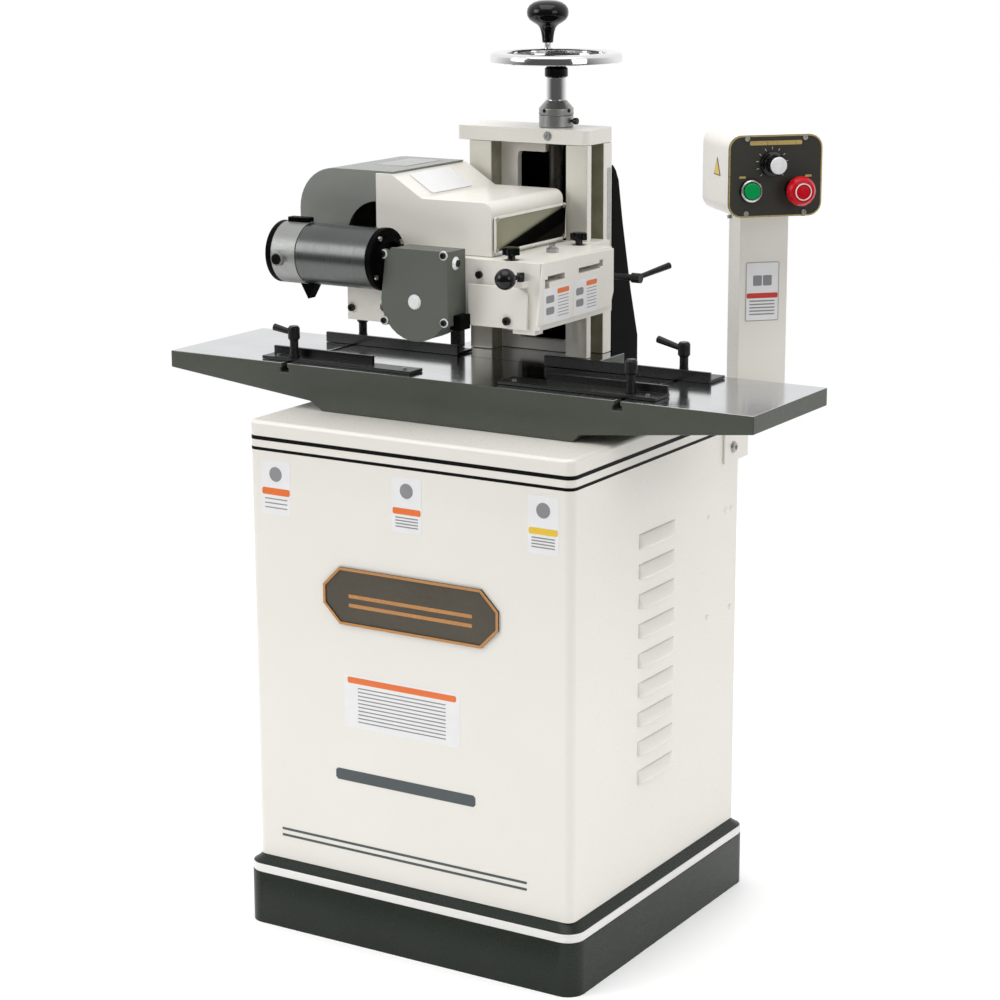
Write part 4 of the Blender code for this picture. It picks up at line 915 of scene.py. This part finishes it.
heads("motor_tie_bolts", "head", "black_steel", black_oxide, "left", 0.0035, 0.0022,
      [(bell_low.x + 0.0008, motor_y + 0.026 * a, motor_z + 0.026 * b)
       for a, b in ((-1, 0), (1, 0), (0, 1), (0, -1))], 0.0017)
for name, start_x, profile in (
    ("motor_end_rim", bell_low.x, [
        (0.0330, -0.0002), (0.0405, -0.0002), (0.0413, 0.0010), (0.0413, 0.0085),
        (0.0395, 0.0085), (0.0395, 0.0020), (0.0330, 0.0005), (0.0330, -0.0002)]),
    ("flange_spigot", flange_x, [
        (0.0240, 0.0), (0.0300, 0.0), (0.0290, 0.0060), (0.0240, 0.0070), (0.0240, 0.0)]),
):
    turned_ring = bmesh.new()
    lathe(turned_ring, profile, 72)
    bmesh.ops.transform(turned_ring, verts=turned_ring.verts,
                        matrix=Matrix.Translation((start_x, motor_y, motor_z))
                        @ Matrix.Rotation(math.pi / 2, 4, "Y"))
    put(name, turned_ring, "head", "black_paint", guard_black)
heads("flange_bolts", "head", "steel", zinc, "right", 0.0034, 0.0030,
      [(flange_x, motor_y + 0.0355 * math.cos(a), motor_z + 0.0355 * math.sin(a))
       for a in (0.6, 2.17, 3.74, 5.31)], 0.0016)
heads("brush_cap_slot", "head", "black_plastic", knob_black, "front", 0.0072, 0.0012,
      [(-0.2280, bell_low.y - 0.0002, 0.9180)], 0.0030)


# Hand controls on the head: the column lock, the feed lever's ball and two star knobs.
# Each star knob turns on a zinc washer, and a hex stud stands between them.
deck_z = casting_high.z
heads("knob_washers", "head", "steel", zinc, "top", 0.0105, 0.0012,
      [(0.0840, -0.1050, deck_z), (0.0880, 0.0620, deck_z)])
stud = bmesh.new()
for sides, radius, height in ((6, 0.0080, 0.0060), (24, 0.0045, 0.0120)):
    bmesh.ops.create_cone(stud, cap_ends=True, segments=sides, radius1=radius, radius2=radius,
                          depth=height, matrix=Matrix.Translation(
                              (0.0950, -0.0200, deck_z + height / 2)))
put("hex_stud", stud, "head", "steel", zinc)
dress("lock_lever", 0.0006, "head_lock", "black_steel", black_oxide, sharp=50.0)
dress("feed_lever", 0.0, "feed_control", "black_plastic", knob_black, sharp=60.0)
dress("star_knob_1", 0.0006, "knob_1", "black_plastic", knob_black, sharp=50.0)
dress("star_knob_2", 0.0006, "knob_2", "black_plastic", knob_black, sharp=50.0)


# Cutter block and feed rollers: ground steel, in plain bearings under the hood. The nut that
# lifts the head on its screw is bronze.
cutter_steel = finish("cutter steel", (0.50, 0.50, 0.50), (0.42, 0.42, 0.42), (0.15, 0.3),
                      (400.0, 9.0, 400.0), metallic=1.0, bump=0.04)
grooved = finish("grooved roller steel", (0.33, 0.33, 0.33), (0.25, 0.25, 0.25), (0.3, 0.45),
                 (500.0, 5.0, 500.0), metallic=1.0, bump=0.4)
bronze = finish("bronze", (0.42, 0.29, 0.10), (0.34, 0.23, 0.09), (0.25, 0.4), 500.0,
                metallic=1.0)
for node, body, material in (
    ("cutterhead", "spindle", cutter_steel),
    ("spindle_pulley", "spindle", cutter_steel),
    ("infeed_roller", "infeed", grooved),
    ("outfeed_roller", "outfeed", grooved),
    ("front_bearing", "head", turned_steel),
    ("rear_bearing", "head", turned_steel),
):
    dress(node, 0.0004, body, "steel", material, sharp=50.0)
dress("lift_nut", 0.0006, "head", "bronze", bronze)


# Main drive: the motor on its platform inside the cabinet, and the belt up to the cutter.
belt_black = finish("belt rubber", (0.012, 0.012, 0.012), (0.025, 0.025, 0.024), (0.5, 0.7),
                    600.0, bump=0.2)
dress("main_motor", 0.0012, "motor_carrier", "grey_paint", hammer_grey)
dress("motor_shelf", 0.0008, "motor_carrier", "grey_paint", sheet_grey)
dress("motor_pulley", 0.0006, "motor_drive", "steel", cutter_steel)
dress("drive_belt", 0.0006, "motor_carrier", "belt_rubber", belt_black)
